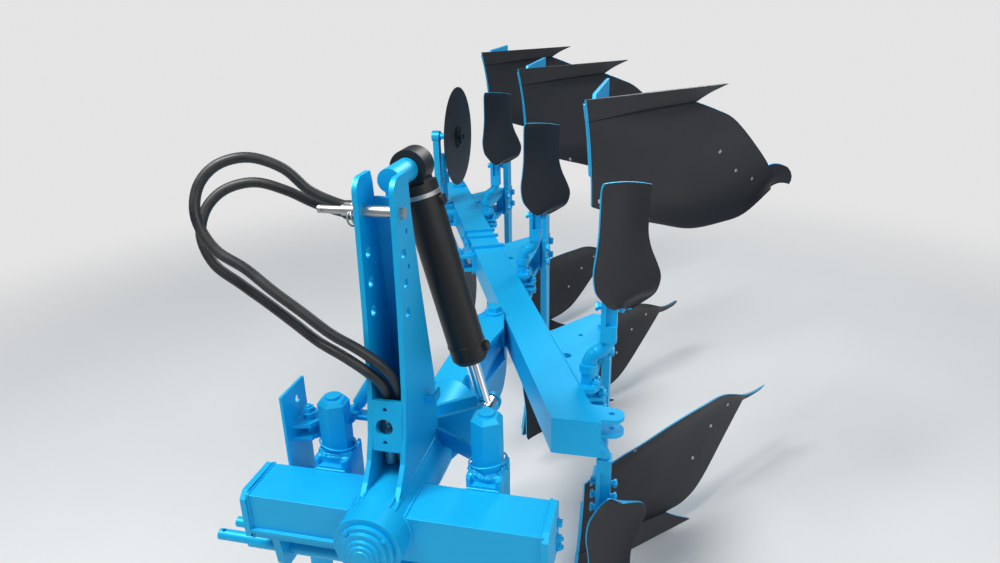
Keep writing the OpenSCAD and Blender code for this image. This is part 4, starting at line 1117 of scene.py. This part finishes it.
class PLOUGH_OT_braces(bpy.types.Operator):
    """Adds the struts behind the cross beam"""
    bl_idname = "plough.braces"
    bl_label = "Struts"

    def execute(self, context):
        struts = bmesh.new()
        for ends_and_sizes in BARS:
            bar(struts, *ends_and_sizes)
        way = STRUT_TOP - STRUT_FOOT
        reach = way.length
        lathe(struts, ((0, 0), (9, 0), (9, 26), (12, 30), (17, 34), (17, reach - 30), (14, reach - 24),
                       (14, reach), (0, reach)), STRUT_FOOT, way, 32)
        lathe(struts, STRUT_SEAT, SEAT_AT, AXIS_Z, 36)
        piece("headstock_struts", struts, finish("blue_paint"), "headstock", 35)
        return {"FINISHED"}


# Lamps: place and size in metres, and the share of the lamp strength
LAMPS = (("key", (-1.5, -0.9, 3.6), 1.7, 0.85), ("fill", (3.2, -1.8, 1.8), 2.6, 0.22),
         ("back", (1.4, 5.4, 3.2), 2.4, 0.5), ("sheen", (4.1, 0.3, -0.3), 2.2, 0.05))
# The point that the lamps aim at, and the colour of the light from all round
LAMP_AIM, SKY_COLOUR = (0, 0.8, -0.4), (0.58, 0.78, 1.0, 1)
# The floor under the plough's middle keeps its shadows; from NEAR_FLOOR to FAR_FLOOR metres away it fades out
FLOOR_CENTRE, NEAR_FLOOR, FAR_FLOOR = (0.1, 1.5, GROUND), 2.3, 5.2
# Half the floor's size, and how far it lies below the lowest point, in metres
FLOOR_HALF, FLOOR_DROP = 30, 0.002


def floor_finish(tone, backdrop):
    """A pale floor that takes shadows near the object and runs into the backdrop's colour far from it."""
    f = Finish("floor")
    f.set(Roughness=0.9, Specular_IOR_Level=0.1)
    speckle = f.noise(1.3, 3, 0.6)
    f.colour(speckle, (0.3, shade(tone, 0.98)), (0.7, shade(tone, 1.01)))
    centred = f.node("VectorMath")
    centred.operation = "SUBTRACT"
    centred.inputs[1].default_value = FLOOR_CENTRE
    f.join(f.where, "Object", centred, 0)
    length = f.node("VectorMath")
    length.operation = "LENGTH"
    f.join(centred, "Vector", length, 0)
    far = f.span(length, "Value", NEAR_FLOOR, FAR_FLOOR, 0.0, 1.0)
    far.interpolation_type = "SMOOTHSTEP"
    wall = f.node("Emission")
    wall.inputs["Color"].default_value = (*backdrop, 1)
    blend = f.node("MixShader")
    f.join(f.product(far, "Result", f.node("LightPath"), "Is Camera Ray"), "Value", blend, "Fac")
    f.join(f.shader, "BSDF", blend, 1)
    f.join(wall, "Emission", blend, 2)
    f.join(blend, "Shader", f.output, "Surface")
    return f.material


class PLOUGH_OT_stage(bpy.types.Operator):
    """Lays the pale floor and sets the studio light"""
    bl_idname = "plough.stage"
    bl_label = "Stage"

    def execute(self, context):
        s = context.scene.plough_stage
        bm = bmesh.new()
        bmesh.ops.create_grid(bm, x_segments=1, y_segments=1, size=FLOOR_HALF,
                              matrix=Matrix.Translation((0, 0, GROUND - FLOOR_DROP)))
        data = bpy.data.meshes.new("floor")
        bm.to_mesh(data)
        bm.free()
        floor = bpy.data.objects.new("floor", data)
        context.scene.collection.objects.link(floor)
        data.materials.append(floor_finish(s.floor, s.backdrop))
        world = bpy.data.worlds.new("studio")
        context.scene.world = world
        world.use_nodes = True
        tree = world.node_tree
        sky = tree.nodes["Background"]
        rays = tree.nodes.new("ShaderNodeLightPath")
        mix = tree.nodes.new("ShaderNodeMixShader")
        seen = tree.nodes.new("ShaderNodeBackground")
        sky.inputs["Color"].default_value = SKY_COLOUR
        sky.inputs["Strength"].default_value = s.sky
        seen.inputs["Color"].default_value = (*s.backdrop, 1)
        tree.links.new(rays.outputs["Is Camera Ray"], mix.inputs["Fac"])
        tree.links.new(sky.outputs["Background"], mix.inputs[1])
        tree.links.new(seen.outputs["Background"], mix.inputs[2])
        tree.links.new(mix.outputs["Shader"], tree.nodes["World Output"].inputs["Surface"])
        for name, at, size, power in LAMPS:
            lamp = bpy.data.lights.new(name, "AREA")
            lamp.size, lamp.energy = size, s.lamp * power
            holder = bpy.data.objects.new(name, lamp)
            aim = Vector(LAMP_AIM) - Vector(at)
            holder.matrix_world = Matrix.Translation(at) @ aim.to_track_quat("-Z", "Y").to_matrix().to_4x4()
            context.scene.collection.objects.link(holder)
        context.scene.view_settings.view_transform = "Standard"
        return {"FINISHED"}


STEPS = (PLOUGH_OT_camera, PLOUGH_OT_hoses, PLOUGH_OT_paint, PLOUGH_OT_bodies, PLOUGH_OT_skimmers,
         PLOUGH_OT_face_bolts, PLOUGH_OT_fasteners, PLOUGH_OT_welds, PLOUGH_OT_rings, PLOUGH_OT_cylinder_trim,
         PLOUGH_OT_hose_ends, PLOUGH_OT_discs, PLOUGH_OT_braces, PLOUGH_OT_stage)


class PLOUGH_PT_panel(bpy.types.Panel):
    """Lists the plough's steps and settings"""
    bl_label = "Plough"
    bl_idname = "PLOUGH_PT_panel"
    bl_space_type = "VIEW_3D"
    bl_region_type = "UI"
    bl_category = "Plough"

    def draw(self, context):
        scene = context.scene
        for settings in (scene.plough_paint, scene.plough_hoses, scene.plough_stage):
            box = self.layout.box()
            for name in settings.__annotations__:
                box.prop(settings, name)
        for step in STEPS:
            self.layout.operator(step.bl_idname)


CLASSES = (PaintSettings, HoseSettings, StageSettings, *STEPS, PLOUGH_PT_panel)


def register():
    for item in CLASSES:
        bpy.utils.register_class(item)
    bpy.types.Scene.plough_paint = bpy.props.PointerProperty(type=PaintSettings)
    bpy.types.Scene.plough_hoses = bpy.props.PointerProperty(type=HoseSettings)
    bpy.types.Scene.plough_stage = bpy.props.PointerProperty(type=StageSettings)


def unregister():
    del bpy.types.Scene.plough_stage
    del bpy.types.Scene.plough_hoses
    del bpy.types.Scene.plough_paint
    for item in reversed(CLASSES):
        bpy.utils.unregister_class(item)


def main():
    register()
    for step in STEPS:
        group, name = step.bl_idname.split(".")
        getattr(getattr(bpy.ops, group), name)()


if __name__ == "__main__":
    main()
